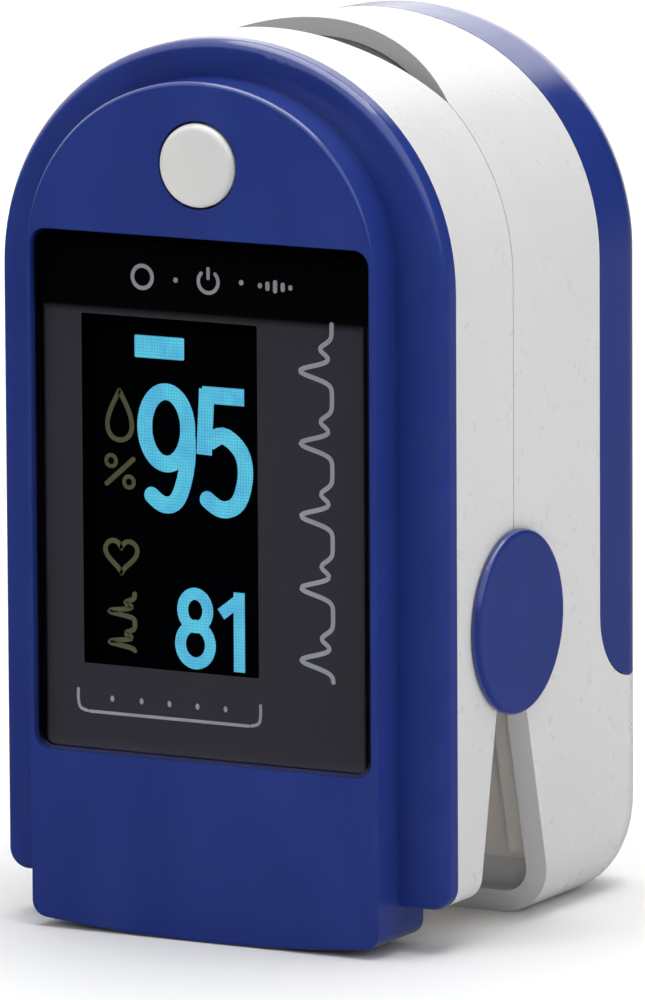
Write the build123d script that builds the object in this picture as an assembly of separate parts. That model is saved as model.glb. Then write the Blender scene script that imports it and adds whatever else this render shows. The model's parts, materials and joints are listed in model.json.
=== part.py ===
"""Fingertip pulse oximeter: two half bodies on a sprung hinge that clamp a fingertip.

Row frame, in millimetres: +Z is up along the body, with the finger opening at the top and
the squeeze ends at the bottom. The display faces -Y and the battery cover faces +Y.
X runs across the body. The origin is under the middle of the body, on the surface it stands on.

The display half carries the blue face cover, the window, the button and the main board.
The battery half carries the two cells, the sensor and the sliding cover. The hinge pin runs
across both, and a torsion spring on it pushes the squeeze ends apart, which closes the mouth.
"""

import os
from math import cos, pi, radians, sin, sqrt, tan

from build123d import *

# ---------------------------------------------------------------- driving dimensions
# Outline, seen from the display
body_width = 32.35
crown_flatness = 1.075  # radius of the crown's top arc, in half widths
shoulder_fullness = 0.9431  # radius of the crown's shoulder arcs, in half widths
front_corner_radius = 1.4  # lower corners of the display half
back_edge_radius = 3.8  # long edges of the battery half
battery_crown_lean = 1.5  # degrees that the battery half's crown comes down towards its back
tail_radius = 6.0  # lower back edge of the battery half
display_half_bottom_z = 2.9

# Walls and gaps
shell_wall = 1.5
cover_wall = 1.4
bay_wall = 0.9
bay_floor = 1.0
frame_thickness = 1.0
part_gap = 0.1  # between pieces of one body that are pushed together
slide_gap = 0.2  # around the battery cover
parting_gap = 0.1  # between the two halves, mouth to hinge

# Face cover
face_thickness = 2.0
plateau_height = 2.95
plateau_inset = 3.5  # from the side of the body to the side of the plateau
plateau_drop = 2.4  # from the top of the body to the top of the plateau
plateau_edge_radius = 0.3
rim_thickness = 1.5
rim_edge_radius = 0.7
lip_depth = 1.0
lip_thickness = 0.8
tab_depth = 6.3  # how far the foot of the face cover reaches back
tab_sag = 0.7  # bow of its lower edge
tab_corner_radius = 1.1

# Window, display and button
window_width = 24.4
window_height = 33.7
window_bottom_z = 11.8
window_thickness = 1.1
window_corner_radius = 1.1
window_sink = 0.25  # below the face
window_ledge = 1.6
display_width = 20.4
display_height = 29.0
display_thickness = 1.4
button_radius = 2.7
button_above_window = 4.8
button_proud = 0.35
button_flange = 0.9  # wider than the button by this radius
button_flange_thickness = 0.7
button_travel = 0.4
button_hole_gap = 0.15

# Main board
board_thickness = 1.0
board_bottom_z = 5.6
switch_size = 5.0
switch_height = 0.9
plunger_radius = 0.9
emitter_z = 41.0  # light source and sensor face each other at this height

# Finger channel, seen from the mouth: two shallow arcs that meet at the parting plane
mouth_half_width = 11.6
front_notch_depth = 2.6
back_notch_depth = 4.0
channel_half_width = 10.3
front_channel_depth = 2.2
back_channel_depth = 3.3
channel_taper = 0.4  # loss of depth on each side, from the mouth to the finger stop
front_liner_depth = 3.6  # from the parting plane to the frame
back_liner_depth = 5.4
liner_half_width = 11.2
liner_recess = 0.5  # below the outside of the shell, at the mouth
board_space = 2.0  # between the main board and the finger frame

# Cells, AAA size
cell_diameter = 10.3
cell_length = 44.0
cell_gap = 0.2
nub_radius = 1.9
nub_height = 0.9
contact_thickness = 0.3
cell_spring_length = 3.0
bay_bottom_z = 3.4
crown_clearance = 1.3  # between the upper cell's shoulder and the bay's crown

# Hinge
pivot_z = 20.3
pin_radius = 1.0
pin_running_gap = 0.05
ear_radius = 3.2
ear_thickness = 1.9
lug_radius = 4.6
lug_gap = 0.35
cap_radius = 6.0
cap_thickness = 0.5
cap_edge_radius = 0.35
cap_gap = 0.1
cap_stem_radius = 2.6
cap_stem_length = 0.7
front_tail_angle = 11.2  # slope of the squeeze gap's sides, from the vertical
back_tail_angle = 14.2
front_tail_offset = 1.35  # from the hinge axis to each side of the gap, at the hinge's height
back_tail_offset = 0.2
coil_radius = 1.72
wire_radius = 0.3
coil_pitch = 0.66
coil_turns = 4
spring_leg = 10.5

tail_rib_depth = 0.8  # how far the stiffening ribs stand off the back tail plate
tail_ribs = ((9.6, 10.6), (13.0, 14.2))  # across the body, on each side
tail_rib_bottom_z = 4.0
tail_rib_top_z = 15.5

# Battery cover
cover_bottom_z = 14.2
cover_depth = 7.5
cover_corner_radius = 4.5
rail_depth = 0.45
rail_width = 0.9
grip_count = 5
grip_pitch = 1.9
grip_width = 11.0
grip_height = 0.35

# Fasteners
screw_head_radius = 1.15
screw_head_height = 0.7
screw_shank_radius = 0.6
pilot_gap = 0.02
post_radius = 1.7
front_screw_x = 8.4
front_screw_low_z = 8.2
back_screw_x = 12.7
back_screw_heights = (28.5, 40.5)

# Link between the halves
ribbon_thickness = 0.2
ribbon_width = 5.0
ribbon_x = 6.2
ribbon_sag = 1.3
socket_height = 0.9

# ---------------------------------------------------------------- worked out from them
half_width = body_width / 2

# Depth, stacked from the parting plane outwards
front_half_depth = (
    front_liner_depth + frame_thickness + board_space + board_thickness
    + 0.2 + rim_thickness + plateau_height
)
bay_floor_depth = back_liner_depth + frame_thickness + part_gap
cell_seat_depth = bay_floor_depth + bay_floor + part_gap
back_half_depth = cell_seat_depth + cell_diameter + 2 * part_gap + slide_gap + cover_wall
body_depth = front_half_depth + back_half_depth
front_y = -body_depth / 2
back_y = body_depth / 2
parting_y = front_y + front_half_depth
rim_y = front_y + plateau_height
seam_y = rim_y + rim_thickness
board_front_y = seam_y + 0.2
board_back_y = board_front_y + board_thickness
front_frame_y = parting_y - front_liner_depth  # the face that the front liner lies on
back_frame_y = parting_y + back_liner_depth
bay_floor_y = parting_y + bay_floor_depth
bay_y = bay_floor_y + bay_floor
cover_seam_y = back_y - cover_depth

# The crown: a flat top arc with a tighter arc on each shoulder
crown_top_radius = crown_flatness * half_width
shoulder_radius = shoulder_fullness * half_width
shoulder_x = half_width - shoulder_radius
crown_height = crown_top_radius - sqrt((crown_top_radius - shoulder_radius) ** 2 - shoulder_x**2)

# Height, stacked from the bottom of the cell bay upwards
cell_x = (cell_diameter + cell_gap) / 2
cell_y = parting_y + cell_seat_depth + cell_diameter / 2
bay_top_z = (
    bay_bottom_z + contact_thickness + cell_spring_length + cell_length + contact_thickness
)
bay_inset = cover_wall + slide_gap + bay_wall
cell_edge_x = cell_x + cell_diameter / 2
shoulder_z = bay_top_z - contact_thickness - nub_height + crown_clearance
window_mid_z = window_bottom_z + window_height / 2
button_z = window_bottom_z + window_height + button_above_window
height_for_cells = crown_height + shoulder_z - sqrt(
    (shoulder_radius - bay_inset) ** 2 - (cell_edge_x - shoulder_x) ** 2
)
height_for_button = (
    button_z + button_radius + button_flange + part_gap + shell_wall + plateau_drop
)
body_height = max(height_for_cells, height_for_button)
springing_z = body_height - crown_height
front_screw_high_z = button_z
stop_z = pivot_z + ear_radius + 0.3  # underside of the finger stop
face_distance = coil_radius + wire_radius + 0.05  # hinge axis to the tail plates
lug_y = parting_y
ear_outer_x = half_width - shell_wall - 0.3
ear_inner_x = ear_outer_x - ear_thickness
above_all = body_height + 5


# ---------------------------------------------------------------- shared shapes
def slab(face, y_front, y_back):
    """A face drawn in X and Z, made solid between two depths."""
    at_back = Plane(origin=(0, y_back, 0), x_dir=(1, 0, 0), z_dir=(0, -1, 0))
    return extrude(at_back * face, amount=y_back - y_front)


def web(face, x_left, x_right):
    """A face drawn in Y and Z, made solid between two places across the body."""
    at_left = Plane(origin=(x_left, 0, 0), x_dir=(0, 1, 0), z_dir=(1, 0, 0))
    return extrude(at_left * face, amount=x_right - x_left)


def block(x0, x1, y0, y1, z0, z1):
    """A plain box between two corners."""
    return Pos((x0 + x1) / 2, (y0 + y1) / 2, (z0 + z1) / 2) * Box(x1 - x0, y1 - y0, z1 - z0)


def peg(x, z, radius, y_front, y_back):
    """A cylinder along the depth of the body."""
    return slab(Pos(x, z) * Circle(radius), y_front, y_back)


def axle(y, z, radius, x_left, x_right):
    """A cylinder across the body."""
    return web(Pos(y, z) * Circle(radius), x_left, x_right)


def both_sides(make):
    """The right-hand solid that make builds, and its mirror image."""
    right = make()
    return [right, mirror(right, about=Plane.YZ)]


def polar(centre_x, centre_z, radius, angle):
    """A point on a circle, with the angle in degrees from +X."""
    return (centre_x + radius * cos(radians(angle)), centre_z + radius * sin(radians(angle)))


def arch(inset, bottom_z, corner_radius, top_inset=None):
    """The body's outline in X and Z, moved in by inset, with its crown and rounded feet.

    top_inset moves the crown down by another amount than the sides move in."""
    drop = inset if top_inset is None else top_inset
    half = half_width - inset
    side = shoulder_radius - inset
    top = crown_top_radius - inset
    spring = springing_z + inset - drop
    top_centre = spring + crown_height - inset - top
    lean = 90 - _shoulder_lean()
    on_side = polar(shoulder_x, spring, side, lean / 2)
    shoulder = polar(shoulder_x, spring, side, lean)
    mirrored = [(-x, z) for x, z in (on_side, shoulder)]
    outline = [
        Line((-half, bottom_z), (half, bottom_z)),
        Line((half, bottom_z), (half, spring)),
        ThreePointArc((half, spring), on_side, shoulder),
        ThreePointArc(shoulder, (0, top_centre + top), mirrored[1]),
        ThreePointArc(mirrored[1], mirrored[0], (-half, spring)),
        Line((-half, spring), (-half, bottom_z)),
    ]
    face = make_face(outline)
    if corner_radius > 0:
        feet = face.vertices().sort_by(Axis.Y)[:2]
        face = fillet(feet, corner_radius)
    return face


def leaning(face, y_front, y_back):
    """A face of the battery half made solid, with its crown coming down towards the back."""
    reach = 2.0
    crown = Axis((0, parting_y, body_height), (1, 0, 0))
    tilted = slab(face, y_front - reach, y_back + reach).rotate(crown, -battery_crown_lean)
    return tilted & block(-body_width, body_width, y_front, y_back, -1, above_all)


def _shoulder_lean():
    """Angle from the vertical, in degrees, at which the shoulder arc meets the top arc."""
    from_top_centre = springing_z - (springing_z + crown_height - crown_top_radius)
    return Vector(0, 1).get_angle(Vector(shoulder_x, from_top_centre))


def battery_envelope(inset, y_front):
    """The battery half's outside, moved in by inset, from y_front to its back."""
    back = back_y - inset
    tail = tail_radius - inset
    side_view = fillet(
        (Pos((y_front + back) / 2, (inset + above_all) / 2)
         * Rectangle(back - y_front, above_all - inset)).vertices().sort_by(Axis.Y)[:2]
        .sort_by(Axis.X)[-1:],
        tail,
    )
    outline = leaning(arch(inset, inset - 2, 0), y_front, back)
    solid = outline & web(side_view, -half_width, half_width)
    rounded = [
        e for e in solid.edges() if e.center().Y > y_front + 0.1
        and (_runs_along_side(e, half_width - inset) or _runs_round_crown(e, back))
    ]
    return fillet(rounded, back_edge_radius - inset)


def _runs_along_side(edge, side_x):
    """Whether an edge lies in the body's flat side, away from the crown's springing."""
    start, end = edge @ 0, edge @ 1
    in_side = abs(abs(start.X) - side_x) < 1e-4 and abs(abs(end.X) - side_x) < 1e-4
    at_springing = start.Z > springing_z - 4 and abs(start.Z - end.Z) < abs(start.Y - end.Y)
    return in_side and not at_springing


def _runs_round_crown(edge, back):
    """Whether an edge lies in the back face, on the crown."""
    start, end = edge @ 0, edge @ 1
    in_back = abs(start.Y - back) < 1e-4 and abs(end.Y - back) < 1e-4
    return in_back and edge.center().Z > springing_z - 2


def tail_line(side, distance, angle, z):
    """Where a tail plane lies in Y at a height: side is -1 in front of the hinge, 1 behind."""
    a = radians(angle)
    down = (pivot_z + distance * sin(a) - z) / cos(a)
    return parting_y + side * (distance * cos(a) + down * sin(a))


def tail_plate(side, angle, bottom_z):
    """A plate that hangs from the finger stop past the coil, and then slopes outwards."""
    near, far = face_distance, face_distance + frame_thickness
    half = tan(radians(angle) / 2)
    corners = [
        (parting_y + side * near, stop_z + frame_thickness / 2),
        (parting_y + side * near, pivot_z + near * half),
        (tail_line(side, near, angle, bottom_z), bottom_z),
        (tail_line(side, far, angle, bottom_z), bottom_z),
        (parting_y + side * far, pivot_z + far * half),
        (parting_y + side * far, stop_z + frame_thickness / 2),
    ]
    return make_face(Polyline(*corners, close=True))


def squeeze_gap():
    """The wedge between the squeeze ends, as seen from the side."""
    front_foot = parting_y - front_tail_offset - pivot_z * tan(radians(front_tail_angle))
    back_foot = parting_y + back_tail_offset + pivot_z * tan(radians(back_tail_angle))
    below = 1.0
    return make_face(Polyline(
        (parting_y - front_tail_offset, pivot_z),
        (front_foot, 0), (front_foot, -below), (back_foot, -below), (back_foot, 0),
        (parting_y + back_tail_offset, pivot_z), close=True,
    ))


def notch(depth, side, half_span, grow=0.0):
    """An upright cylinder whose arc cuts depth into a half, half_span either side of the middle."""
    radius = (half_span**2 + depth**2) / (2 * depth)
    centre_y = parting_y + side * (depth - radius)
    height = above_all - springing_z
    return Pos(0, centre_y, springing_z + height / 2) * Cylinder(radius - grow, height)


def channel(depth, side):
    """The finger channel's arc on one side: a cylinder tilted so that it is shallower inside."""
    radius = (channel_half_width**2 + depth**2) / (2 * depth)
    floor_z = stop_z + frame_thickness + 1.2
    length = body_height - floor_z
    tilt = side * Vector(0, 1).get_angle(Vector(channel_taper, length))
    reach = 3.0
    bore = Cylinder(radius, length + reach, align=(Align.CENTER, Align.CENTER, Align.MIN))
    at_floor = Pos(0, parting_y + side * (depth - channel_taper - radius), floor_z)
    return at_floor * Rot(-tilt, 0, 0) * bore & block(
        -half_width, half_width, front_y, back_y, floor_z, above_all
    )


def screw(x, z, y_seat, length, facing):
    """A pan-head screw along the depth, its head on y_seat. facing is the head's side: 1 is +Y."""
    head = peg(x, z, screw_head_radius, *sorted((y_seat, y_seat + facing * screw_head_height)))
    shank = peg(x, z, screw_shank_radius, *sorted((y_seat, y_seat - facing * length)))
    slot = block(
        x - screw_head_radius, x + screw_head_radius,
        *sorted((y_seat + facing * 0.4, y_seat + facing * 2 * screw_head_height)),
        z - 0.16, z + 0.16,
    )
    return head + shank - slot - Pos(0, 0, 0) * slot.rotate(Axis((x, 0, z), (0, 1, 0)), 90)


def ring(inset, thickness, bottom_z, corner_radius):
    """A band that follows the body's outline."""
    outer = arch(inset, bottom_z, corner_radius)
    inner = arch(inset + thickness, bottom_z + thickness, max(corner_radius - thickness, 0.3))
    return outer - inner


# ---------------------------------------------------------------- display half
front_screws = [
    (sx * front_screw_x, z) for sx in (-1, 1) for z in (front_screw_low_z, front_screw_high_z)
]


def screw_seat_y(z):
    """Depth of a front screw's seat: in the flat frame, or in the sloped tail plate."""
    if z > stop_z:
        return front_frame_y - screw_head_height
    return tail_line(-1, face_distance, front_tail_angle, z) - screw_head_height - 0.1


def plateau_face(inset):
    """The raised middle of the face cover, from its crown to its foot."""
    side = plateau_inset + inset
    face = arch(side, inset, 0, top_inset=plateau_drop + inset)
    if inset == 0:
        half = half_width - side
        sag = tab_sag
        bow = make_face([
            ThreePointArc((-half, sag), (0, 0), (half, sag)), Line((half, sag), (half, 6)),
            Line((half, 6), (-half, 6)), Line((-half, 6), (-half, sag)),
        ])
        face = (face - Pos(0, 2) * Rectangle(4 * half, 8)) + bow
        feet = face.vertices().sort_by(Axis.Y)[:2]
        face = fillet(feet, tab_corner_radius)
    return face


def make_front_cover():
    rim = slab(arch(0, display_half_bottom_z, front_corner_radius), rim_y, seam_y)
    rim = fillet(rim.faces().sort_by(Axis.Y)[0].edges(), rim_edge_radius)
    plateau = slab(plateau_face(0), front_y, rim_y + rim_thickness)
    plateau = fillet(plateau.faces().sort_by(Axis.Y)[0].edges(), plateau_edge_radius)
    foot = slab(plateau_face(0), seam_y - 0.5, front_y + tab_depth)
    foot &= block(-half_width, half_width, front_y, back_y, -1, display_half_bottom_z)
    cover = rim + plateau + foot
    # inside, open towards the shell, and the lip that locates it there
    inside = slab(
        arch(plateau_inset + shell_wall, display_half_bottom_z + shell_wall, 1.0,
             top_inset=plateau_drop + shell_wall),
        front_y + face_thickness, seam_y + lip_depth + 1,
    )
    lip = slab(
        ring(shell_wall + part_gap, lip_thickness,
             display_half_bottom_z + shell_wall + part_gap, 0.8),
        seam_y, seam_y + lip_depth,
    )
    lip -= block(-half_width, half_width, seam_y - 1, back_y, 0, board_bottom_z + 1)
    cover = cover - inside + lip
    # window recess with its ledge, and the button hole
    recess = RectangleRounded(
        window_width + 2 * part_gap, window_height + 2 * part_gap, window_corner_radius
    )
    opening = RectangleRounded(
        window_width - 2 * window_ledge, window_height - 2 * window_ledge, 0.8
    )
    at_window = Pos(0, window_mid_z)
    cover -= slab(at_window * recess, front_y - 1, front_y + window_sink + window_thickness)
    cover -= slab(at_window * opening, front_y, front_y + 2 * face_thickness)
    cover -= peg(0, button_z, button_radius + button_hole_gap, front_y - 1, seam_y)
    # screw posts, which the main board seats on
    for x, z in front_screws:
        cover += peg(x, z, post_radius, front_y + face_thickness - 0.2, board_front_y - part_gap)
        cover -= peg(x, z, screw_shank_radius + pilot_gap, front_y + face_thickness + 0.1, seam_y)
        cover -= peg(x, z, screw_shank_radius + pilot_gap, seam_y - 0.1, board_front_y)
    return cover


def make_window():
    face = Pos(0, window_mid_z) * RectangleRounded(
        window_width, window_height, window_corner_radius
    )
    lens = slab(face, front_y + window_sink, front_y + window_sink + window_thickness)
    return chamfer(lens.faces().sort_by(Axis.Y)[0].edges(), 0.15)


def make_button():
    top = front_y - button_proud
    flange_front = front_y + face_thickness + 0.05
    cap = peg(0, button_z, button_radius, top, flange_front)
    cap = fillet(cap.faces().sort_by(Axis.Y)[0].edges(), 0.45)
    flange = peg(0, button_z, button_radius + button_flange, flange_front,
                 flange_front + button_flange_thickness)
    stem_end = board_front_y - switch_height - button_travel
    stem = peg(0, button_z, plunger_radius, flange_front, stem_end)
    return cap + flange + stem


def make_switch_body():
    y_top = board_front_y - switch_height
    body = block(-switch_size / 2, switch_size / 2, y_top, board_front_y,
                 button_z - switch_size / 2, button_z + switch_size / 2)
    body = chamfer(body.faces().sort_by(Axis.Y)[0].edges(), 0.2)
    return body - peg(0, button_z, plunger_radius + part_gap, y_top - 1, board_front_y + 1)


def make_switch_plunger():
    y_top = board_front_y - switch_height - button_travel
    return peg(0, button_z, plunger_radius, y_top, board_front_y - button_travel - 0.1)


def make_main_board():
    inset = shell_wall + lip_thickness + 2 * part_gap
    board = slab(arch(inset, board_bottom_z, 1.5), board_front_y, board_back_y)
    for x, z in front_screws:
        board -= peg(x, z, screw_shank_radius + 0.2, board_front_y - 1, board_back_y + 1)
    return board


def make_display_panel():
    y_front = front_y + window_sink + window_thickness + 0.8
    glass = block(-display_width / 2, display_width / 2, y_front, y_front + display_thickness,
                  window_mid_z - display_height / 2, window_mid_z + display_height / 2)
    return glass


def make_display_frame():
    """The plastic frame that holds the panel off the board and against the ledge."""
    y_front = front_y + window_sink + window_thickness + 0.8
    outer = RectangleRounded(display_width + 1.6, display_height + 1.6, 0.6)
    inner = Rectangle(display_width + 2 * part_gap, display_height + 2 * part_gap)
    seat = Rectangle(display_width - 2, display_height - 2)
    at = Pos(0, window_mid_z)
    frame = slab(at * outer, y_front, board_front_y)
    frame -= slab(at * inner, y_front - 1, y_front + display_thickness + 0.02)
    return frame - slab(at * seat, y_front, board_front_y + 1)


def make_display_flex():
    """The folded tail that joins the panel to the board below the frame."""
    y_front = front_y + window_sink + window_thickness + 0.8 + display_thickness
    top = window_mid_z - display_height / 2
    return block(-4, 4, y_front + 0.05, board_front_y, top + 1.2, top + 2.4)


def make_processor():
    chip = block(-3.5, 3.5, board_back_y, board_back_y + 0.9, 30.5, 37.5)
    return chamfer(chip.faces().sort_by(Axis.Y)[-1].edges(), 0.15)


def make_amplifier_chip():
    return block(-8.4, -4.4, board_back_y, board_back_y + 1.1, 24.6, 28.6)


def make_boost_coil():
    coil = peg(7.2, 33.0, 2.1, board_back_y, board_back_y + 1.4)
    return chamfer(coil.faces().sort_by(Axis.Y)[-1].edges(), 0.3)


def make_crystal():
    can = RectangleRounded(5.0, 2.0, 0.9)
    return slab(Pos(0, 27.0) * can, board_back_y, board_back_y + 1.0)


def make_board_parts():
    """Small capacitors and resistors in two rows, soldered to the back of the board."""
    parts = []
    for i in range(6):
        x = -7.5 + 3.0 * i
        parts.append(block(x - 0.8, x + 0.8, board_back_y, board_back_y + 0.6, 21.6, 22.4))
        if i not in (2, 3):
            parts.append(block(x - 0.4, x + 0.4, board_back_y, board_back_y + 0.8, 45.2, 46.8))
    return Compound(children=parts)


def make_upper_shell():
    feet = front_corner_radius
    y_back = parting_y - parting_gap / 2
    shell = slab(arch(0, display_half_bottom_z, feet), seam_y, y_back)
    inner = arch(shell_wall, display_half_bottom_z + shell_wall, 0.5)
    shell -= slab(inner, seam_y - 1, parting_y + 1)
    # shelf that the finger frame lands on
    shelf = slab(ring(shell_wall - 0.2, 1.2, display_half_bottom_z, feet),
                 front_frame_y - frame_thickness - part_gap - 0.8,
                 front_frame_y - frame_thickness - part_gap)
    shelf &= block(-half_width, half_width, front_y, back_y, stop_z + 2, above_all)
    shell += shelf
    shell -= web(squeeze_gap(), -half_width - 1, half_width + 1)
    shell -= notch(front_notch_depth, -1, mouth_half_width)
    shell -= axle(parting_y, pivot_z, lug_radius + lug_gap, -half_width - 1, half_width + 1)
    for ear in both_sides(_ear):
        shell += ear
    return shell


def _ear():
    """A hinge ear inside the right-hand wall, joined to it in front of the lug's recess."""
    root_y = parting_y - lug_radius - lug_gap - 0.1
    rib_y = board_back_y + part_gap
    eye = axle(parting_y, pivot_z, ear_radius, ear_inner_x, ear_outer_x)
    arm = block(ear_inner_x, ear_outer_x, rib_y, parting_y,
                pivot_z - ear_radius + 1.2, pivot_z + ear_radius)
    arm -= axle(parting_y, pivot_z, ear_radius, ear_inner_x - 1, ear_outer_x + 1)
    foot = block(ear_inner_x, half_width - shell_wall + 0.2, rib_y, root_y,
                 pivot_z - ear_radius + 1.2, pivot_z + ear_radius)
    keep = block(0, half_width, front_y, parting_y - 0.02, 0, above_all)
    ear = eye + (arm & keep) + foot
    return ear - axle(parting_y, pivot_z, pin_radius + pin_running_gap, 0, half_width)


def make_upper_frame():
    inset = shell_wall + part_gap
    y_back = parting_y - parting_gap / 2
    outline = arch(inset, stop_z, 0)
    frame = slab(outline, front_frame_y - frame_thickness, front_frame_y)
    sides = slab(outline, front_frame_y, y_back - 0.1)
    sides -= block(-liner_half_width - part_gap, liner_half_width + part_gap, front_y, back_y,
                   stop_z + frame_thickness, above_all)
    frame += sides
    foot_z = display_half_bottom_z + inset
    plate = web(tail_plate(-1, front_tail_angle, foot_z), -half_width, half_width)
    frame += plate & slab(arch(inset, foot_z, 1.2), front_y, parting_y)
    for cut in both_sides(lambda: axle(parting_y, pivot_z, ear_radius + 0.25,
                                       ear_inner_x - 0.2, half_width)):
        frame -= cut
    arm_top = pivot_z + ear_radius + 0.15
    for cut in both_sides(lambda: block(ear_inner_x - 0.2, half_width, front_y, parting_y,
                                        pivot_z - ear_radius + 1.05, arm_top)):
        frame -= cut
    for x, z in front_screws:
        seat = screw_seat_y(z)
        frame += peg(x, z, post_radius, board_back_y + part_gap, seat)
        frame -= peg(x, z, screw_head_radius + 0.15, seat, parting_y)
        frame -= peg(x, z, screw_shank_radius + 0.2, board_back_y, seat + 0.1)
    frame -= block(-3.6, 3.6, front_y, front_frame_y + 0.1, emitter_z - 3.1, emitter_z + 3.1)
    return frame - _ribbon_slot()


def make_emitter_board():
    y0 = front_frame_y - frame_thickness + part_gap
    return block(-3.5, 3.5, y0, y0 + 0.7, emitter_z - 3.0, emitter_z + 3.0)


def make_light_emitter():
    """The red and infrared source, in a clear package that looks into the channel."""
    y0 = front_frame_y - frame_thickness + part_gap + 0.7
    body = block(-1.6, 1.6, y0, y0 + 0.7, emitter_z - 1.3, emitter_z + 1.3)
    lens = peg(0, emitter_z, 1.0, y0 + 0.7, y0 + 1.0)
    return body + lens


def make_upper_liner():
    y_back = parting_y - parting_gap / 2 - 0.05
    inside = slab(arch(shell_wall + 2 * part_gap, stop_z + frame_thickness + 0.05, 0),
                  front_frame_y + 0.02, y_back)
    inside &= block(-liner_half_width, liner_half_width, front_y, back_y, 0, above_all)
    mouth = slab(arch(liner_recess, springing_z - 2, 0), front_frame_y + 0.02, y_back)
    mouth &= notch(front_notch_depth, -1, mouth_half_width, grow=0.15)
    liner = inside + mouth - channel(front_channel_depth, -1)
    liner -= block(-1.9, 1.9, front_y, back_y, emitter_z - 1.6, emitter_z + 1.6)
    for x, z in front_screws:
        liner -= peg(x, z, screw_head_radius + 0.1, front_frame_y - 1, front_frame_y + 0.3)
    return liner


def make_front_screws():
    board_depth = 3.4
    return Compound(children=[
        screw(x, z, screw_seat_y(z), screw_seat_y(z) - board_front_y + board_depth - 1.4, 1)
        for x, z in front_screws
    ])


# ---------------------------------------------------------------- battery half
def cover_region(grow):
    """The part of the battery half that the sliding cover takes up, seen from the side."""
    low_z = cover_bottom_z - grow
    near_y = cover_seam_y - grow
    sheet = Pos((near_y + back_y + 2) / 2, (low_z + above_all) / 2) * Rectangle(
        back_y + 2 - near_y, above_all - low_z
    )
    corner = sheet.vertices().sort_by(Axis.Y)[:2].sort_by(Axis.X)[:1]
    return web(fillet(corner, cover_corner_radius + grow), -half_width - 1, half_width + 1)


def make_lower_shell():
    y_front = parting_y + parting_gap / 2
    shell = battery_envelope(0, y_front) - cover_region(slide_gap / 2)
    shell += battery_envelope(cover_wall + slide_gap, y_front)
    # finger side
    finger_side = arch(shell_wall, shell_wall, 1.9)
    shell -= slab(finger_side, front_y, bay_floor_y)
    # cell bay, open at the back above the fixed tail
    hatch_half = cell_edge_x + 0.6
    behind_cells = block(-hatch_half, hatch_half, cell_y, back_y, 0, above_all)
    bay = battery_envelope(bay_inset, bay_y - 0.01)
    bay += battery_envelope(cover_wall + slide_gap, cell_y) & behind_cells
    bay &= block(-half_width, half_width, bay_y, back_y, bay_bottom_z, bay_top_z)
    hatch = leaning(arch(bay_inset, 0, 0), cell_y, back_y)
    hatch &= block(-hatch_half, hatch_half, cell_y, back_y, cover_bottom_z - slide_gap / 2, bay_top_z)
    pocket = leaning(arch(bay_inset, 0, 0), bay_y, back_y)
    pocket &= block(-half_width, half_width, bay_y, back_y, bay_top_z + bay_wall, above_all)
    shell = shell - bay - hatch - pocket
    rib_top = cell_y - cell_diameter * 0.32
    rib_half = (cell_diameter / 2) * (1 - sqrt(1 - 0.64**2)) + cell_gap / 2 - 0.05
    for z in (14.0, 42.0):
        shell += block(-rib_half, rib_half, bay_floor_y, rib_top, z - 0.6, z + 0.6)
    shell -= web(squeeze_gap(), -half_width - 1, half_width + 1)
    shell -= notch(back_notch_depth, 1, mouth_half_width)
    # hinge lugs, with the pin's hole and the cap's seat
    inner_x = half_width - shell_wall
    for lug in both_sides(lambda: axle(lug_y, pivot_z, lug_radius, inner_x, half_width)):
        shell += lug
    for hole in both_sides(lambda: axle(lug_y, pivot_z, pin_radius + pilot_gap, 0, half_width)):
        shell -= hole
    for seat in both_sides(lambda: axle(lug_y, pivot_z, cap_stem_radius + part_gap / 2,
                                        half_width - cap_stem_length - 0.05, half_width + 1)):
        shell -= seat
    # bosses for the frame's screws, beside the cells
    for sx in (-1, 1):
        for z in back_screw_heights:
            x = sx * back_screw_x
            shell += peg(x, z, post_radius - 0.1, bay_floor_y, bay_y + 4.2)
            shell -= peg(x, z, screw_shank_radius + pilot_gap, bay_floor_y - 1, bay_y + 3.4)
    # grooves that the cover's rails run in, and a detent for its catch
    for groove in both_sides(_rail_groove):
        shell -= groove
    return shell


def _rail(grow):
    """The right-hand rail of the battery cover, as a box that may be grown into its groove."""
    wall_x = half_width - cover_wall
    y0 = cover_seam_y + 0.5 - grow
    return block(wall_x - slide_gap - rail_depth - grow, wall_x + 0.2, y0,
                 y0 + rail_width + 2 * grow, cover_bottom_z + cover_corner_radius + 1,
                 springing_z - 1)


def _rail_groove():
    wall_x = half_width - cover_wall
    y0 = cover_seam_y + 0.5 - slide_gap
    return block(wall_x - slide_gap - rail_depth - 0.15, half_width, y0,
                 y0 + rail_width + 2 * slide_gap,
                 cover_bottom_z + cover_corner_radius + 1 - slide_gap, above_all) \
        & slab(arch(cover_wall + 0.05, cover_bottom_z, 0), front_y, back_y)


def make_battery_cover():
    outer = battery_envelope(0, cover_seam_y) & cover_region(0)
    cover = outer - battery_envelope(cover_wall, cover_seam_y - 1)
    for rail in both_sides(lambda: _rail(0)):
        cover += rail
    # thumb grip: a row of raised bars near the lower end
    for i in range(grip_count):
        z = cover_bottom_z + 4.0 + i * grip_pitch
        length = grip_width * (1 - 0.12 * abs(i - grip_count // 2))
        cover += Pos(0, back_y, z) * Rot(0, 90, 0) * Cylinder(grip_height, length)
    return cover


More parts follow.
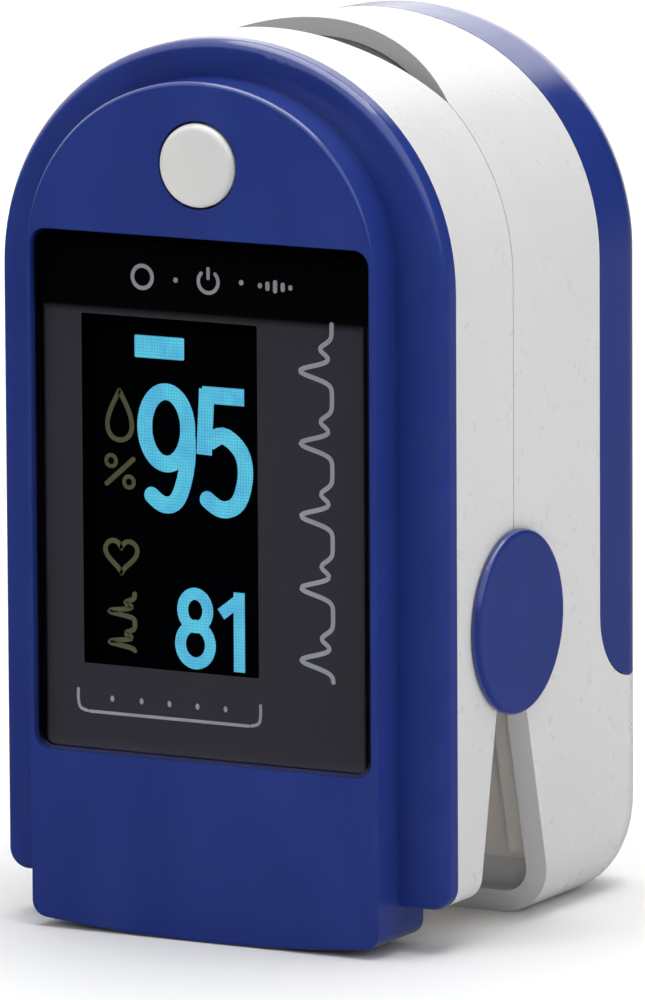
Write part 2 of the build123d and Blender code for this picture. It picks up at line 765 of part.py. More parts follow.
def make_lower_frame():
    inset = shell_wall + part_gap
    y_front = parting_y + parting_gap / 2
    outline = arch(inset, stop_z, 0)
    frame = slab(outline, back_frame_y, back_frame_y + frame_thickness)
    sides = slab(outline, y_front + 0.1, back_frame_y)
    sides -= block(-liner_half_width - part_gap, liner_half_width + part_gap, front_y, back_y,
                   stop_z + frame_thickness, above_all)
    frame += sides
    plate = web(tail_plate(1, back_tail_angle, inset), -half_width, half_width)
    for left, right in tail_ribs:
        for rib in both_sides(lambda: web(_tail_rib(), left, right)):
            plate += rib
    plate &= slab(arch(inset, inset, 1.8), front_y, bay_floor_y - part_gap)
    frame += plate
    for cut in both_sides(lambda: axle(parting_y, pivot_z, ear_radius + 0.25,
                                       ear_inner_x - 0.2, half_width)):
        frame -= cut
    for sx in (-1, 1):
        for z in back_screw_heights:
            x = sx * back_screw_x
            seat = back_frame_y - 2.0
            frame -= peg(x, z, screw_head_radius + 0.15, parting_y, seat)
            frame -= peg(x, z, screw_shank_radius + 0.2, seat - 0.1, back_y)
    frame -= _sensor_board_slot()
    return frame - _ribbon_slot()


def _tail_rib():
    """The side view of a rib that stands off the back tail plate into the squeeze gap."""
    near, far = face_distance - tail_rib_depth, face_distance + frame_thickness / 2
    return make_face(Polyline(*[
        (tail_line(1, distance, back_tail_angle, z), z)
        for distance, z in ((near, tail_rib_bottom_z), (near, tail_rib_top_z),
                            (far, tail_rib_top_z), (far, tail_rib_bottom_z))
    ], close=True))


def _sensor_strip(grow):
    """The sensor board: a pad behind the channel and a strip down to the ribbon."""
    y0 = bay_floor_y - part_gap - 0.8
    pad = block(-4.5 - grow, 4.5 + grow, y0 - grow, bay_floor_y - part_gap + grow,
                emitter_z - 4.5 - grow, emitter_z + 4.5 + grow)
    strip_half = ribbon_width / 2 + 0.6
    strip = block(ribbon_x - strip_half - grow, ribbon_x + strip_half + grow, y0 - grow,
                  bay_floor_y - part_gap + grow, pivot_z - 6.0 - grow, emitter_z + 4.5 + grow)
    return pad + strip


def _sensor_board_slot():
    return _sensor_strip(part_gap) + block(
        -4.4, 4.4, back_frame_y - 0.1, back_y, emitter_z - 4.4, emitter_z + 4.4
    )


def make_sensor_board():
    return _sensor_strip(0)


def make_photodiode():
    y_back = bay_floor_y - part_gap - 0.8
    case = block(-2.2, 2.2, y_back - 0.9, y_back, emitter_z - 1.8, emitter_z + 1.8)
    return chamfer(case.faces().sort_by(Axis.Y)[0].edges(), 0.12)


def make_lower_liner():
    y_front = parting_y + parting_gap / 2 + 0.05
    inside = slab(arch(shell_wall + 2 * part_gap, stop_z + frame_thickness + 0.05, 0),
                  y_front, back_frame_y - 0.02)
    inside &= block(-liner_half_width, liner_half_width, front_y, back_y, 0, above_all)
    mouth = slab(arch(liner_recess, springing_z - 2, 0), y_front, back_frame_y - 0.02)
    mouth &= notch(back_notch_depth, 1, mouth_half_width, grow=0.15)
    liner = inside + mouth - channel(back_channel_depth, 1)
    return liner - block(-2.5, 2.5, front_y, back_y, emitter_z - 2.1, emitter_z + 2.1)


def make_back_screws():
    return Compound(children=[
        screw(sx * back_screw_x, z, back_frame_y - 2.0, 6.2, -1)
        for sx in (-1, 1) for z in back_screw_heights
    ])


def make_cell(side):
    """One AAA cell with its raised positive end: up on the left, down on the right."""
    length = cell_length - nub_height
    low = bay_bottom_z + contact_thickness
    can_low = low + cell_spring_length if side < 0 else low + nub_height
    can = Pos(0, 0, can_low + length / 2) * Cylinder(cell_diameter / 2, length)
    can = fillet(can.edges().filter_by(GeomType.CIRCLE), 0.5)
    nub_z = can_low + length + nub_height / 2 if side < 0 else low + nub_height / 2
    nub = Pos(0, 0, nub_z) * Cylinder(nub_radius, nub_height)
    return Pos(side * cell_x, cell_y, 0) * (can + nub)


def make_cell_spring(side):
    """The coil that presses on a cell's flat end: below the left cell, above the right one."""
    turns = 3.5
    low = bay_bottom_z + contact_thickness if side < 0 else bay_top_z - contact_thickness \
        - cell_spring_length
    wire = 0.25
    height = cell_spring_length - 2 * wire - 0.04
    line = Helix(pitch=height / turns, height=height, radius=2.6)
    section = Plane(origin=line @ 0, z_dir=line % 0) * Circle(wire)
    coil = sweep(section, path=line, is_frenet=True)
    return Pos(side * cell_x, cell_y, low + wire + 0.02) * coil


def make_contact_plates():
    """The two lower contacts, side by side against the bottom of the bay."""
    plates = [
        block(side * cell_x - 4.0, side * cell_x + 4.0, cell_y - 3.5, cell_y + 3.5,
              bay_bottom_z, bay_bottom_z + contact_thickness)
        for side in (-1, 1)
    ]
    return Compound(children=plates)


def make_contact_bridge():
    """The upper contact, which joins the left cell to the right one."""
    half = cell_x + 2.9
    return block(-half, half, cell_y - 3.2, cell_y + 3.2,
                 bay_top_z - contact_thickness, bay_top_z)


# ---------------------------------------------------------------- hinge and link
def make_hinge_pin():
    end = half_width - cap_stem_length - 0.1
    pin = axle(parting_y, pivot_z, pin_radius, -end, end)
    return chamfer(pin.edges().filter_by(GeomType.CIRCLE), 0.15)


def make_hinge_cap():
    """The right-hand cap: a low dome with a stem that sits in the lug."""
    inner = half_width + cap_gap
    disc = axle(parting_y, pivot_z, cap_radius, inner, inner + cap_thickness)
    disc = fillet(disc.faces().sort_by(Axis.X)[-1].edges(), cap_edge_radius)
    stem = axle(parting_y, pivot_z, cap_stem_radius, half_width - cap_stem_length, inner + 0.2)
    return disc + stem


def make_torsion_spring():
    """A coil on the pin, its legs lying on the two tail plates."""
    a, b = radians(front_tail_angle), radians(back_tail_angle)
    turned = coil_turns + (pi - a - b) / (2 * pi)
    height = turned * coil_pitch
    line = Helix(pitch=coil_pitch, height=height, radius=coil_radius)
    section = Plane(origin=line @ 0, z_dir=line % 0) * Circle(wire_radius)
    coil = sweep(section, path=line, is_frenet=True)
    legs = []
    for place, way in ((line @ 0, (line % 0) * -1), (line @ 1, line % 1)):
        foot = Plane(origin=place, z_dir=way) * Circle(wire_radius)
        legs.append(extrude(foot, amount=spring_leg, dir=way))
    on_pin = Plane(origin=(-height / 2, parting_y, pivot_z), x_dir=(0, cos(b), sin(b)),
                   z_dir=(1, 0, 0))
    return on_pin * (coil + legs[0] + legs[1])


def ribbon_line():
    """The link ribbon's run in Y and Z: through both tail plates, with slack between them."""
    z = pivot_z - 4.0
    start = board_back_y + socket_height + ribbon_thickness / 2 + 0.02
    end = bay_floor_y - part_gap - 0.8 - socket_height - ribbon_thickness / 2 - 0.02
    near = parting_y - face_distance - 0.6
    far = parting_y + face_distance + 0.9
    return FilletPolyline(
        (start, z), (near, z), (near + 0.8, z - ribbon_sag), (far - 0.8, z - ribbon_sag),
        (far, z), (end, z), radius=[0.35, 0.35, 0.35, 0.35],
    )


def _ribbon_slot():
    """The slots in the tail plates that the ribbon passes through."""
    half = ribbon_width / 2 + 0.4
    z = pivot_z - 4.0
    return block(ribbon_x - half, ribbon_x + half, board_back_y, bay_floor_y - part_gap,
                 z - 0.7, z + 0.7)


def make_link_ribbon():
    band = offset(ribbon_line(), amount=ribbon_thickness / 2, side=Side.BOTH)
    return web(make_face(band), ribbon_x - ribbon_width / 2, ribbon_x + ribbon_width / 2)


def make_socket(y_base, y_mouth):
    half = ribbon_width / 2 + 0.3
    z = pivot_z - 4.0
    return block(ribbon_x - half, ribbon_x + half, *sorted((y_base, y_mouth)), z - 1.2, z + 1.2)


# ---------------------------------------------------------------- writing the pieces
def all_pieces():
    """Every piece by its node name."""
    right_cap = make_hinge_cap()
    sensor_face = bay_floor_y - part_gap - 0.8
    return {
        "front_cover": make_front_cover(),
        "display_window": make_window(),
        "power_button": make_button(),
        "switch_body": make_switch_body(),
        "switch_plunger": make_switch_plunger(),
        "main_board": make_main_board(),
        "display_panel": make_display_panel(),
        "display_frame": make_display_frame(),
        "display_flex": make_display_flex(),
        "processor_chip": make_processor(),
        "amplifier_chip": make_amplifier_chip(),
        "boost_coil": make_boost_coil(),
        "crystal": make_crystal(),
        "board_parts": make_board_parts(),
        "board_socket": make_socket(board_back_y, board_back_y + socket_height),
        "upper_shell": make_upper_shell(),
        "upper_frame": make_upper_frame(),
        "upper_liner": make_upper_liner(),
        "emitter_board": make_emitter_board(),
        "light_emitter": make_light_emitter(),
        "front_screws": make_front_screws(),
        "lower_shell": make_lower_shell(),
        "lower_frame": make_lower_frame(),
        "lower_liner": make_lower_liner(),
        "sensor_board": make_sensor_board(),
        "photodiode": make_photodiode(),
        "sensor_socket": make_socket(sensor_face, sensor_face - socket_height),
        "back_screws": make_back_screws(),
        "battery_left": make_cell(-1),
        "battery_right": make_cell(1),
        "cell_spring_left": make_cell_spring(-1),
        "cell_spring_right": make_cell_spring(1),
        "contact_plates": make_contact_plates(),
        "contact_bridge": make_contact_bridge(),
        "battery_cover": make_battery_cover(),
        "hinge_pin": make_hinge_pin(),
        "hinge_cap_right": right_cap,
        "hinge_cap_left": mirror(right_cap, about=Plane.YZ),
        "torsion_spring": make_torsion_spring(),
        "link_ribbon": make_link_ribbon(),
    }


def main():
    os.makedirs("parts", exist_ok=True)
    for name, piece in all_pieces().items():
        export_step(piece, f"parts/{name}.step")
    print(f"body {body_width:.1f} x {body_depth:.1f} x {body_height:.1f} mm")


main()
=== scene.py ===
"""Looks of a fingertip pulse oximeter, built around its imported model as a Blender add-on.

Every place is in metres, in the model's own frame: +Z up the body, the display facing -Y,
the battery cover facing +Y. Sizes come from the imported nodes' boxes.
"""

import json
import math

import bmesh
import bpy
import numpy as np
from bpy.props import FloatProperty, FloatVectorProperty, IntProperty, PointerProperty
from bpy.types import Operator, Panel, PropertyGroup
from mathutils import Matrix, Vector


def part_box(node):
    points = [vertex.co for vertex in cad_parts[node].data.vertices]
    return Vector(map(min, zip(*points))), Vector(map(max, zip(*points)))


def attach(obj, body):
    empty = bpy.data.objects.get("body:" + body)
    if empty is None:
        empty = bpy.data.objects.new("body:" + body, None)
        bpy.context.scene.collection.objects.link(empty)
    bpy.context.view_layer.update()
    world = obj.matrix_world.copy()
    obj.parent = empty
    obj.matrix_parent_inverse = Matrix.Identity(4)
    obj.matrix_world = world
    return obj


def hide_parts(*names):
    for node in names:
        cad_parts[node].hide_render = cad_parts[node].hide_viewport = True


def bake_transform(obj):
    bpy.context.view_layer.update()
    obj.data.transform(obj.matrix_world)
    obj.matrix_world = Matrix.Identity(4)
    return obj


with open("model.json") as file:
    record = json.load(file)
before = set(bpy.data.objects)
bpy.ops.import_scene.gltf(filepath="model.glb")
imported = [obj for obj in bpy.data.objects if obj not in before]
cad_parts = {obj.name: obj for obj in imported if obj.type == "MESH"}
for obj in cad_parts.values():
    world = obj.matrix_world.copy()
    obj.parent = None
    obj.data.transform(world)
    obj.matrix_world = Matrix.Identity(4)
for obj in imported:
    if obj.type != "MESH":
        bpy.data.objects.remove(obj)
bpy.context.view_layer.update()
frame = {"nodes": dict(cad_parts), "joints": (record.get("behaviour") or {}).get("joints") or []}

bl_info = {
    "name": "Fingertip Oximeter Looks",
    "version": (1, 0, 0),
    "blender": (4, 5, 0),
    "location": "View3D > Sidebar > Oximeter",
    "description": "Finishes, window graphics, springs, cells and stage of a fingertip oximeter",
    "category": "Object",
}

MM = 0.001
DISPLAY, BATTERY, COVER = "display_half", "battery_half", "cover"


def span(node):
    """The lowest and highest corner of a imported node, as arrays."""
    low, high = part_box(node)
    return np.array(low), np.array(high)


HINGE = next(j for j in frame["joints"] if j["type"] == "hinge")
PIVOT = np.array(HINGE["pos_m"])
LENS_LOW, LENS_HIGH = span("display_window")
PANEL_LOW = span("display_panel")[0]


# ---------------------------------------------------------------- settings
def colour_setting(name, text, default):
    return FloatVectorProperty(
        name=name, description=text, default=default, subtype="COLOR", size=3, min=0.0, max=1.0
    )


def length_setting(name, text, default):
    return FloatProperty(name=name, description=text, default=default, unit="LENGTH", precision=5)


def share_setting(name, text, default):
    return FloatProperty(name=name, description=text, default=default, min=0.0, max=1.0)


def angle_setting(name, text, degrees):
    return FloatProperty(name=name, description=text, default=math.radians(degrees), subtype="ANGLE")


def reading_setting(name, text, default):
    return IntProperty(name=name, description=text, default=default, min=0, max=99)


class FinishSettings(PropertyGroup):
    """Colours and gloss of the moulded and metal pieces"""

    blue: colour_setting("Blue", "Colour of the face cover, battery cover and caps", (0.017, 0.036, 0.215))
    blue_flow: colour_setting("Blue flow", "Tone that the blue drifts to", (0.021, 0.043, 0.24))
    white: colour_setting("White", "Colour of both shells", (0.72, 0.72, 0.72))
    white_flow: colour_setting("White flow", "Tone that the white drifts to", (0.70, 0.70, 0.70))
    pearl: colour_setting("Pearl", "Colour of the button", (0.83, 0.835, 0.80))
    pearl_flow: colour_setting("Pearl flow", "Tone that the pearl drifts to", (0.78, 0.78, 0.78))
    inner_grey: colour_setting("Inner grey", "Colour of the inner frames", (0.86, 0.81, 0.76))
    silicone: colour_setting("Silicone", "Colour of the finger liners", (0.020, 0.0205, 0.022))
    steel: colour_setting("Steel", "Colour of the pin, springs and screws", (0.55, 0.55, 0.56))
    gloss: share_setting("Gloss", "Roughness of the outside plastic", 0.20)


class WindowSettings(PropertyGroup):
    """Readings, and colours of the window's print"""

    upper_number: reading_setting("Upper number", "Large reading", 95)
    lower_number: reading_setting("Lower number", "Small reading", 81)
    lit: colour_setting("Lit", "Colour of the lit pixels", (0.11, 0.58, 0.74))
    lit_deep: colour_setting("Lit deep", "Tone that the lit pixels drift to", (0.09, 0.46, 0.70))
    brightness: FloatProperty(
        name="Brightness", description="Strength of the lit pixels", default=1.25, min=0.0
    )
    ink: colour_setting("Ink", "Colour of the symbols on the window", (0.74, 0.76, 0.84))
    mark: colour_setting("Mark", "Colour of the unit symbols beside the readings", (0.28, 0.27, 0.14))
    mask: colour_setting("Mask", "Colour of the printed border", (0.074, 0.069, 0.085))


class StageSettings(PropertyGroup):
    """Camera and floor"""

    azimuth: angle_setting("Azimuth", "Camera's turn round the body", 28.466)
    elevation: angle_setting("Elevation", "Camera's height angle", 9.590)
    roll: angle_setting("Roll", "Camera's tilt in its own frame", -0.318)
    distance: length_setting("Distance", "From the aim point to the camera's plane", 0.74879)
    aim_height: length_setting("Aim height", "Height of the aim point", 0.0374)
    aim_right: length_setting("Aim right", "Camera's shift to its own right", 0.005762)
    aim_up: length_setting("Aim up", "Camera's shift to its own top", -0.009134)
    lens: FloatProperty(name="Lens", description="Focal length in millimetres", default=421.92)
    floor: colour_setting("Floor", "Colour of the floor", (0.92, 0.92, 0.92))


# ---------------------------------------------------------------- surfaces
def grid_faces(rows, columns, wrap_rows=False, wrap_columns=False):
    """Quads of a rows by columns grid of points, joined end to end where it wraps."""
    r = np.arange(rows if wrap_rows else rows - 1)
    c = np.arange(columns if wrap_columns else columns - 1)
    r, c = (a.ravel() for a in np.meshgrid(r, c, indexing="ij"))
    r1, c1 = (r + 1) % rows, (c + 1) % columns
    return np.stack([r * columns + c, r1 * columns + c, r1 * columns + c1, r * columns + c1], axis=1)


def swept(rings, closed=False):
    """Rings of points along a path as a closed solid: quads join them, and an open path has a
    flat cap at each end."""
    rows, sides = rings.shape[:2]
    faces = grid_faces(rows, sides, closed, True).tolist()
    if not closed:
        faces += [list(range(sides))[::-1], list(range((rows - 1) * sides, rows * sides))]
    return rings, faces


def joined(parts):
    """Several (points, faces) pairs as one pair."""
    points, faces, start = [], [], 0
    for part_points, part_faces in parts:
        flat = part_points.reshape(-1, 3)
        points.append(flat)
        faces.extend((np.asarray(f) + start).tolist() for f in part_faces)
        start += len(flat)
    return np.concatenate(points), faces


def smooth_line(points, count):
    """A curve through the points: each stretch is a cubic whose end slopes are half the chord
    between the neighbours on both sides. count points, evenly spread by point number."""
    p = np.asarray(points, float)
    t = np.linspace(0, len(p) - 1, count)
    i = np.minimum(t.astype(int), len(p) - 2)
    f = (t - i)[:, None]
    a, b, c, d = (p[np.clip(i + k, 0, len(p) - 1)] for k in (-1, 0, 1, 2))
    return b + 0.5 * f * (c - a + f * (2 * a - 5 * b + 4 * c - d + f * (3 * (b - c) + d - a)))


def lengths(path):
    """How far along the path each of its points is."""
    return np.concatenate([[0], np.cumsum(np.linalg.norm(np.diff(path, axis=0), axis=1))])


def units(vectors):
    """The vectors at length one."""
    return vectors / np.linalg.norm(vectors, axis=1)[:, None]


def along_path(path, places):
    """The path's points at those lengths along it."""
    along = lengths(path)
    return np.stack([np.interp(places, along, path[:, k]) for k in range(path.shape[1])], axis=1)


END_STUB = 0.02  # share of its half width that a round end keeps, so it never shrinks to a point


def round_ends(along, half):
    """The half width of a line at each length along it: near both ends it follows a circle."""
    inset = np.minimum(np.minimum(along, along[-1] - along), half)
    return np.sqrt(half**2 - (half - inset) ** 2) + END_STUB * half


def at_depth(outline, y):
    """An outline in X and Z, placed at a depth in Y."""
    return np.column_stack([outline[:, 0], np.full(len(outline), y), outline[:, 1]])


def stroke(path, width, y_front, y_back, closed=False, count=40, blunt=False):
    """A flat line in X and Z with thickness in Y. Each path point moves both ways along the path's
    normal by half the width. At an open end that half width follows a circle, so it is round,
    unless the line is blunt."""
    p = np.asarray(path, float)
    half = np.full(len(p) if closed else count, width / 2)
    if closed:
        tangent = np.roll(p, -1, axis=0) - np.roll(p, 1, axis=0)
    else:
        crowded = (1 - np.cos(np.pi * np.linspace(0, 1, count))) / 2
        p = along_path(p, crowded * lengths(p)[-1])
        tangent = np.gradient(p, axis=0)
        half = (1 + END_STUB) * half if blunt else round_ends(lengths(p), width / 2)
    normal = units(tangent)[:, ::-1] * (-1, 1) * half[:, None]
    left, right = p + normal, p - normal
    corners = [(left, y_front), (right, y_front), (right, y_back), (left, y_back)]
    return swept(np.stack([at_depth(side, y) for side, y in corners], axis=1), closed)


def lathe(profile, centre, sides):
    """A surface of revolution: each (radius, height) of the profile is turned about Z through the
    centre. The profile starts and ends on the axis."""
    turn = np.linspace(0, 2 * np.pi, sides, endpoint=False)
    radius, height = profile[:, :1], profile[:, 1:]
    points = np.stack(np.broadcast_arrays(radius * np.cos(turn), radius * np.sin(turn), height), axis=2)
    return points + centre, grid_faces(len(profile), sides, False, True).tolist()


def tube(path, radius, across, sides=12):
    """A round wire along a path: a circle stands square to the path at each point, turned from
    the across direction. Near each end its radius follows a circle, so the wire's ends are round."""
    along = lengths(path)
    cap = radius * (1 - np.cos(np.linspace(0, np.pi / 2, 6)))[:-1]
    straight = along[(along > radius) & (along < along[-1] - radius)]
    places = np.concatenate([cap, straight, along[-1] - cap[::-1]])
    path = along_path(path, places)
    tangent = units(np.gradient(path, axis=0))
    side = units(np.cross(tangent, across))
    other = np.cross(tangent, side)
    turn = np.linspace(0, 2 * np.pi, sides, endpoint=False)[None, :, None]
    circle = np.cos(turn) * side[:, None] + np.sin(turn) * other[:, None]
    return swept(path[:, None] + round_ends(places, radius)[:, None, None] * circle)


def add_piece(name, shape, material, body=None, sharp=35.0):
    """A mesh object from (points, faces), with doubles merged, faces outwards and smooth shading
    up to the sharp angle in degrees. It rides on the body, unless that is left out."""
    points, faces = shape
    mesh = bpy.data.meshes.new(name)
    mesh.from_pydata(points.reshape(-1, 3).tolist(), [], [list(f) for f in faces])
    work = bmesh.new()
    work.from_mesh(mesh)
    bmesh.ops.remove_doubles(work, verts=work.verts, dist=1e-7)
    bmesh.ops.dissolve_degenerate(work, edges=work.edges, dist=1e-8)
    bmesh.ops.recalc_face_normals(work, faces=work.faces)
    work.to_mesh(mesh)
    work.free()
    mesh.polygons.foreach_set("use_smooth", np.ones(len(mesh.polygons), bool))
    mesh.set_sharp_from_angle(angle=math.radians(sharp))
    mesh.materials.append(material)
    piece = bpy.data.objects.new(name, mesh)
    bpy.context.scene.collection.objects.link(piece)
    if body:
        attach(piece, body)
    return piece


def finish_nodes(material, *nodes):
    """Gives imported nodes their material."""
    for node in nodes:
        piece = frame["nodes"][node]
        for material_slot in piece.material_slots:
            material_slot.link = "DATA"
            material_slot.material = material
        if not piece.material_slots:
            piece.data.materials.append(material)


# ---------------------------------------------------------------- shader building
WHITE_DULLER = 0.08  # roughness of the white over that of the blue


def scaled(colour, share):
    """A colour with each channel times the share."""
    return [share * channel for channel in colour]


class NodeBench:
    """Adds nodes to one tree and wires them."""

    def __init__(self, tree):
        self.tree = tree

    def put(self, value, socket):
        """Links the socket to a value that is a socket too, and sets it to any other value."""
        if isinstance(value, bpy.types.NodeSocket):
            self.tree.links.new(value, socket)
        elif socket.type == "RGBA" and len(value) == 3:
            socket.default_value = (*value, 1.0)
        else:
            socket.default_value = value

    def wire(self, node, **values):
        """Puts values into a node's inputs, with underscores for the spaces in their names."""
        for key, value in values.items():
            self.put(value, node.inputs[key.replace("_", " ")])

    def add(self, kind, inputs=None, **settings):
        """A new node with its settings, and its inputs by name or number."""
        node = self.tree.nodes.new(kind)
        for key, value in settings.items():
            setattr(node, key, value)
        for key, value in (inputs or {}).items():
            self.put(value, node.inputs[key])
        return node

    def millimetres(self, stretch=(1.0, 1.0, 1.0), turn=(0.0, 0.0, 0.0)):
        """Object coordinates in millimetres, stretched and turned."""
        place = self.add("ShaderNodeTexCoord").outputs["Object"]
        inputs = {"Vector": place, "Scale": [s / MM for s in stretch], "Rotation": turn}
        return self.add("ShaderNodeMapping", inputs).outputs["Vector"]

    def split(self, vector):
        """A vector's X, Y and Z."""
        return self.add("ShaderNodeSeparateXYZ", {0: vector}).outputs

    def noise(self, vector, scale, detail=2.0, roughness=0.5, distortion=0.0):
        """Fractal noise about 0.5, with the scale in cells per millimetre."""
        inputs = {"Vector": vector, "Scale": scale, "Detail": detail}
        inputs |= {"Roughness": roughness, "Distortion": distortion}
        return self.add("ShaderNodeTexNoise", inputs).outputs[0]

    def remap(self, value, low, high, to_low=0.0, to_high=1.0):
        """The value's range from low to high laid onto to_low to to_high, and held at its ends."""
        inputs = {"Value": value, "From Min": low, "From Max": high}
        inputs |= {"To Min": to_low, "To Max": to_high}
        return self.add("ShaderNodeMapRange", inputs).outputs[0]

    def maths(self, operation, *values):
        """One sum, with the values in the order that the operation takes them."""
        return self.add("ShaderNodeMath", dict(enumerate(values)), operation=operation).outputs[0]

    def mixed(self, factor, first, second):
        """A colour between the first at factor 0 and the second at factor 1."""
        inputs = {0: factor, 6: first, 7: second}
        return self.add("ShaderNodeMix", inputs, data_type="RGBA").outputs[2]

    def effect(self, name, **values):
        """A shared effect's outputs, with this material's own values."""
        node = self.add("ShaderNodeGroup", node_tree=shared_effect(name))
        self.wire(node, **values)
        return node.outputs


def shared_effect(name):
    """The shader node group of that name, built the first time it is asked for."""
    return bpy.data.node_groups.get(name) or EFFECTS[name](name)


GREY = (0.5, 0.5, 0.5, 1.0)
SURFACE = ("Colour", "Roughness", "Height")


def new_effect(name, inputs, outputs=SURFACE):
    """An empty group. An input is a colour where its default is a tuple, and a number elsewhere.
    The output called Colour is a colour, and the others are numbers."""
    tree = bpy.data.node_groups.new(name, "ShaderNodeTree")

    def socket(label, side, is_colour):
        kind = "NodeSocketColor" if is_colour else "NodeSocketFloat"
        return tree.interface.new_socket(label, in_out=side, socket_type=kind)

    for label, default in inputs.items():
        socket(label, "INPUT", isinstance(default, tuple)).default_value = default
    for label in outputs:
        socket(label, "OUTPUT", label == "Colour")
    given = tree.nodes.new("NodeGroupInput").outputs
    return NodeBench(tree), given, tree.nodes.new("NodeGroupOutput")


def moulded_effect(name):
    """Injection-moulded plastic: slow tone drift along the flow, uneven gloss, and orange peel."""
    inputs = {"Colour": GREY, "Flow Colour": GREY, "Roughness": 0.2, "Roughness Spread": 0.05}
    b, given, result = new_effect(name, inputs | {"Peel Scale": 1.0})
    place = b.millimetres()
    drawn_out = b.millimetres(stretch=(1.0, 1.0, 0.35))
    flow = b.noise(drawn_out, 0.16, detail=3.0, roughness=0.55, distortion=0.6)
    flow = b.remap(flow, 0.35, 0.65)
    patch = b.remap(b.noise(place, 0.55, detail=4.0, roughness=0.6, distortion=0.4), 0.3, 0.7, -1.0, 1.0)
    b.wire(
        result,
        Colour=b.mixed(flow, given["Colour"], given["Flow Colour"]),
        Roughness=b.maths("MULTIPLY_ADD", patch, given["Roughness Spread"], given["Roughness"]),
        Height=b.noise(place, given["Peel Scale"], detail=2.0, roughness=0.45),
    )
    return b.tree


def handling_effect(name):
    """Handling marks: greasy smudges and hair scratches as one mask."""
    b, given, result = new_effect(name, {"Amount": 0.5}, ("Mask",))
    smeared = b.millimetres(stretch=(1.0, 1.0, 0.6), turn=(0.0, 0.5, 0.3))
    smudge = b.noise(smeared, 0.22, detail=5.0, roughness=0.68, distortion=1.4)
    hair = b.noise(b.millimetres((4.0, 4.0, 0.12), (0.3, 0.55, 0.2)), 1.5, detail=2.0, roughness=0.4)
    both = b.maths("MAXIMUM", b.remap(smudge, 0.52, 0.68, 0.0, 0.7), b.remap(hair, 0.70, 0.74, 0.0, 0.6))
    b.wire(result, Mask=b.maths("MULTIPLY", both, given["Amount"]))
    return b.tree


def drawn_metal_effect(name):
    """Drawn or rolled metal: fine lines along X, tone and gloss that follow them, and dulling."""
    b, given, result = new_effect(
        name, {"Colour": GREY, "Dull Colour": GREY, "Roughness": 0.3, "Line Scale": 6.0}
    )
    line = b.noise(b.millimetres((0.12, 1.0, 1.0)), given["Line Scale"], detail=3.0, roughness=0.6)
    dull = b.remap(b.noise(b.millimetres(), 0.9, detail=4.0, roughness=0.6), 0.42, 0.72)
    share = b.maths("MULTIPLY_ADD", line, 0.35, b.maths("MULTIPLY", dull, 0.5))
    b.wire(
        result,
        Colour=b.mixed(share, given["Colour"], given["Dull Colour"]),
        Roughness=b.maths("MULTIPLY_ADD", share, 0.25, given["Roughness"]),
        Height=line,
    )
    return b.tree


def soft_skin_effect(name):
    """Soft silicone: fine pores, a powdery bloom and slight tone drift."""
    b, given, result = new_effect(name, {"Colour": GREY, "Bloom Colour": GREY, "Roughness": 0.6})
    place = b.millimetres()
    bloom = b.remap(b.noise(place, 0.5, detail=5.0, roughness=0.65, distortion=0.5), 0.4, 0.75, 0.0, 0.6)
    b.wire(
        result,
        Colour=b.mixed(bloom, given["Colour"], given["Bloom Colour"]),
        Roughness=b.maths("MULTIPLY_ADD", bloom, 0.25, given["Roughness"]),
        Height=b.noise(place, 14.0, detail=2.0, roughness=0.6),
    )
    return b.tree


def circuit_effect(name):
    """A printed board's face: copper runs under green lacquer, with pads and speckle."""
    b, given, result = new_effect(name, {"Lacquer": GREY, "Copper": GREY, "Run Scale": 1.0})
    place = b.millimetres()
    cells = b.add(
        "ShaderNodeTexVoronoi", {"Vector": place, "Scale": given["Run Scale"]},
        distance="CHEBYCHEV", feature="F1",
    )
    run = b.remap(cells.outputs["Distance"], 0.30, 0.33)
    speckle = b.noise(place, 9.0, detail=2.0)
    b.wire(
        result,
        Colour=b.mixed(run, given["Lacquer"], given["Copper"]),
        Roughness=b.remap(speckle, 0.3, 0.7, 0.28, 0.45),
        Height=b.maths("MULTIPLY_ADD", speckle, 0.1, run),
    )
    return b.tree


def pixel_effect(name):
    """A display's pixel lattice in X and Z: 1 on a pixel and 0 on the gap round it."""
    b, given, result = new_effect(name, {"Pitch": 0.2, "Gap": 0.18}, ("Mask",))
    place = b.split(b.millimetres())
    cells = [b.maths("FRACT", b.maths("DIVIDE", place[axis], given["Pitch"])) for axis in "XZ"]
    edges = [b.maths("GREATER_THAN", cell, given["Gap"]) for cell in cells]
    b.wire(result, Mask=b.maths("MULTIPLY", *edges))
    return b.tree


EFFECTS = {
    "Moulded Plastic": moulded_effect,
    "Handling Marks": handling_effect,
    "Drawn Metal": drawn_metal_effect,
    "Soft Skin": soft_skin_effect,
    "Circuit Face": circuit_effect,
    "Pixel Lattice": pixel_effect,
}


def new_material(name):
    """An empty node material with its output, its bench and a Principled shader."""
    material = bpy.data.materials.new(name)
    material.use_nodes = True
    material.node_tree.nodes.clear()
    bench = NodeBench(material.node_tree)
    shader = bench.add("ShaderNodeBsdfPrincipled")
    bench.add("ShaderNodeOutputMaterial", {"Surface": shader.outputs[0]})
    return material, bench, shader


def feed(b, shader, effect, strength, depth, **plain):
    """Wires an effect's colour, roughness and height to a shader, and sets its plain values."""
    bump = b.add("ShaderNodeBump", {"Strength": strength, "Distance": depth, "Height": effect["Height"]})
    b.wire(shader, Base_Color=effect["Colour"], Roughness=effect["Roughness"],
           Normal=bump.outputs["Normal"], **plain)


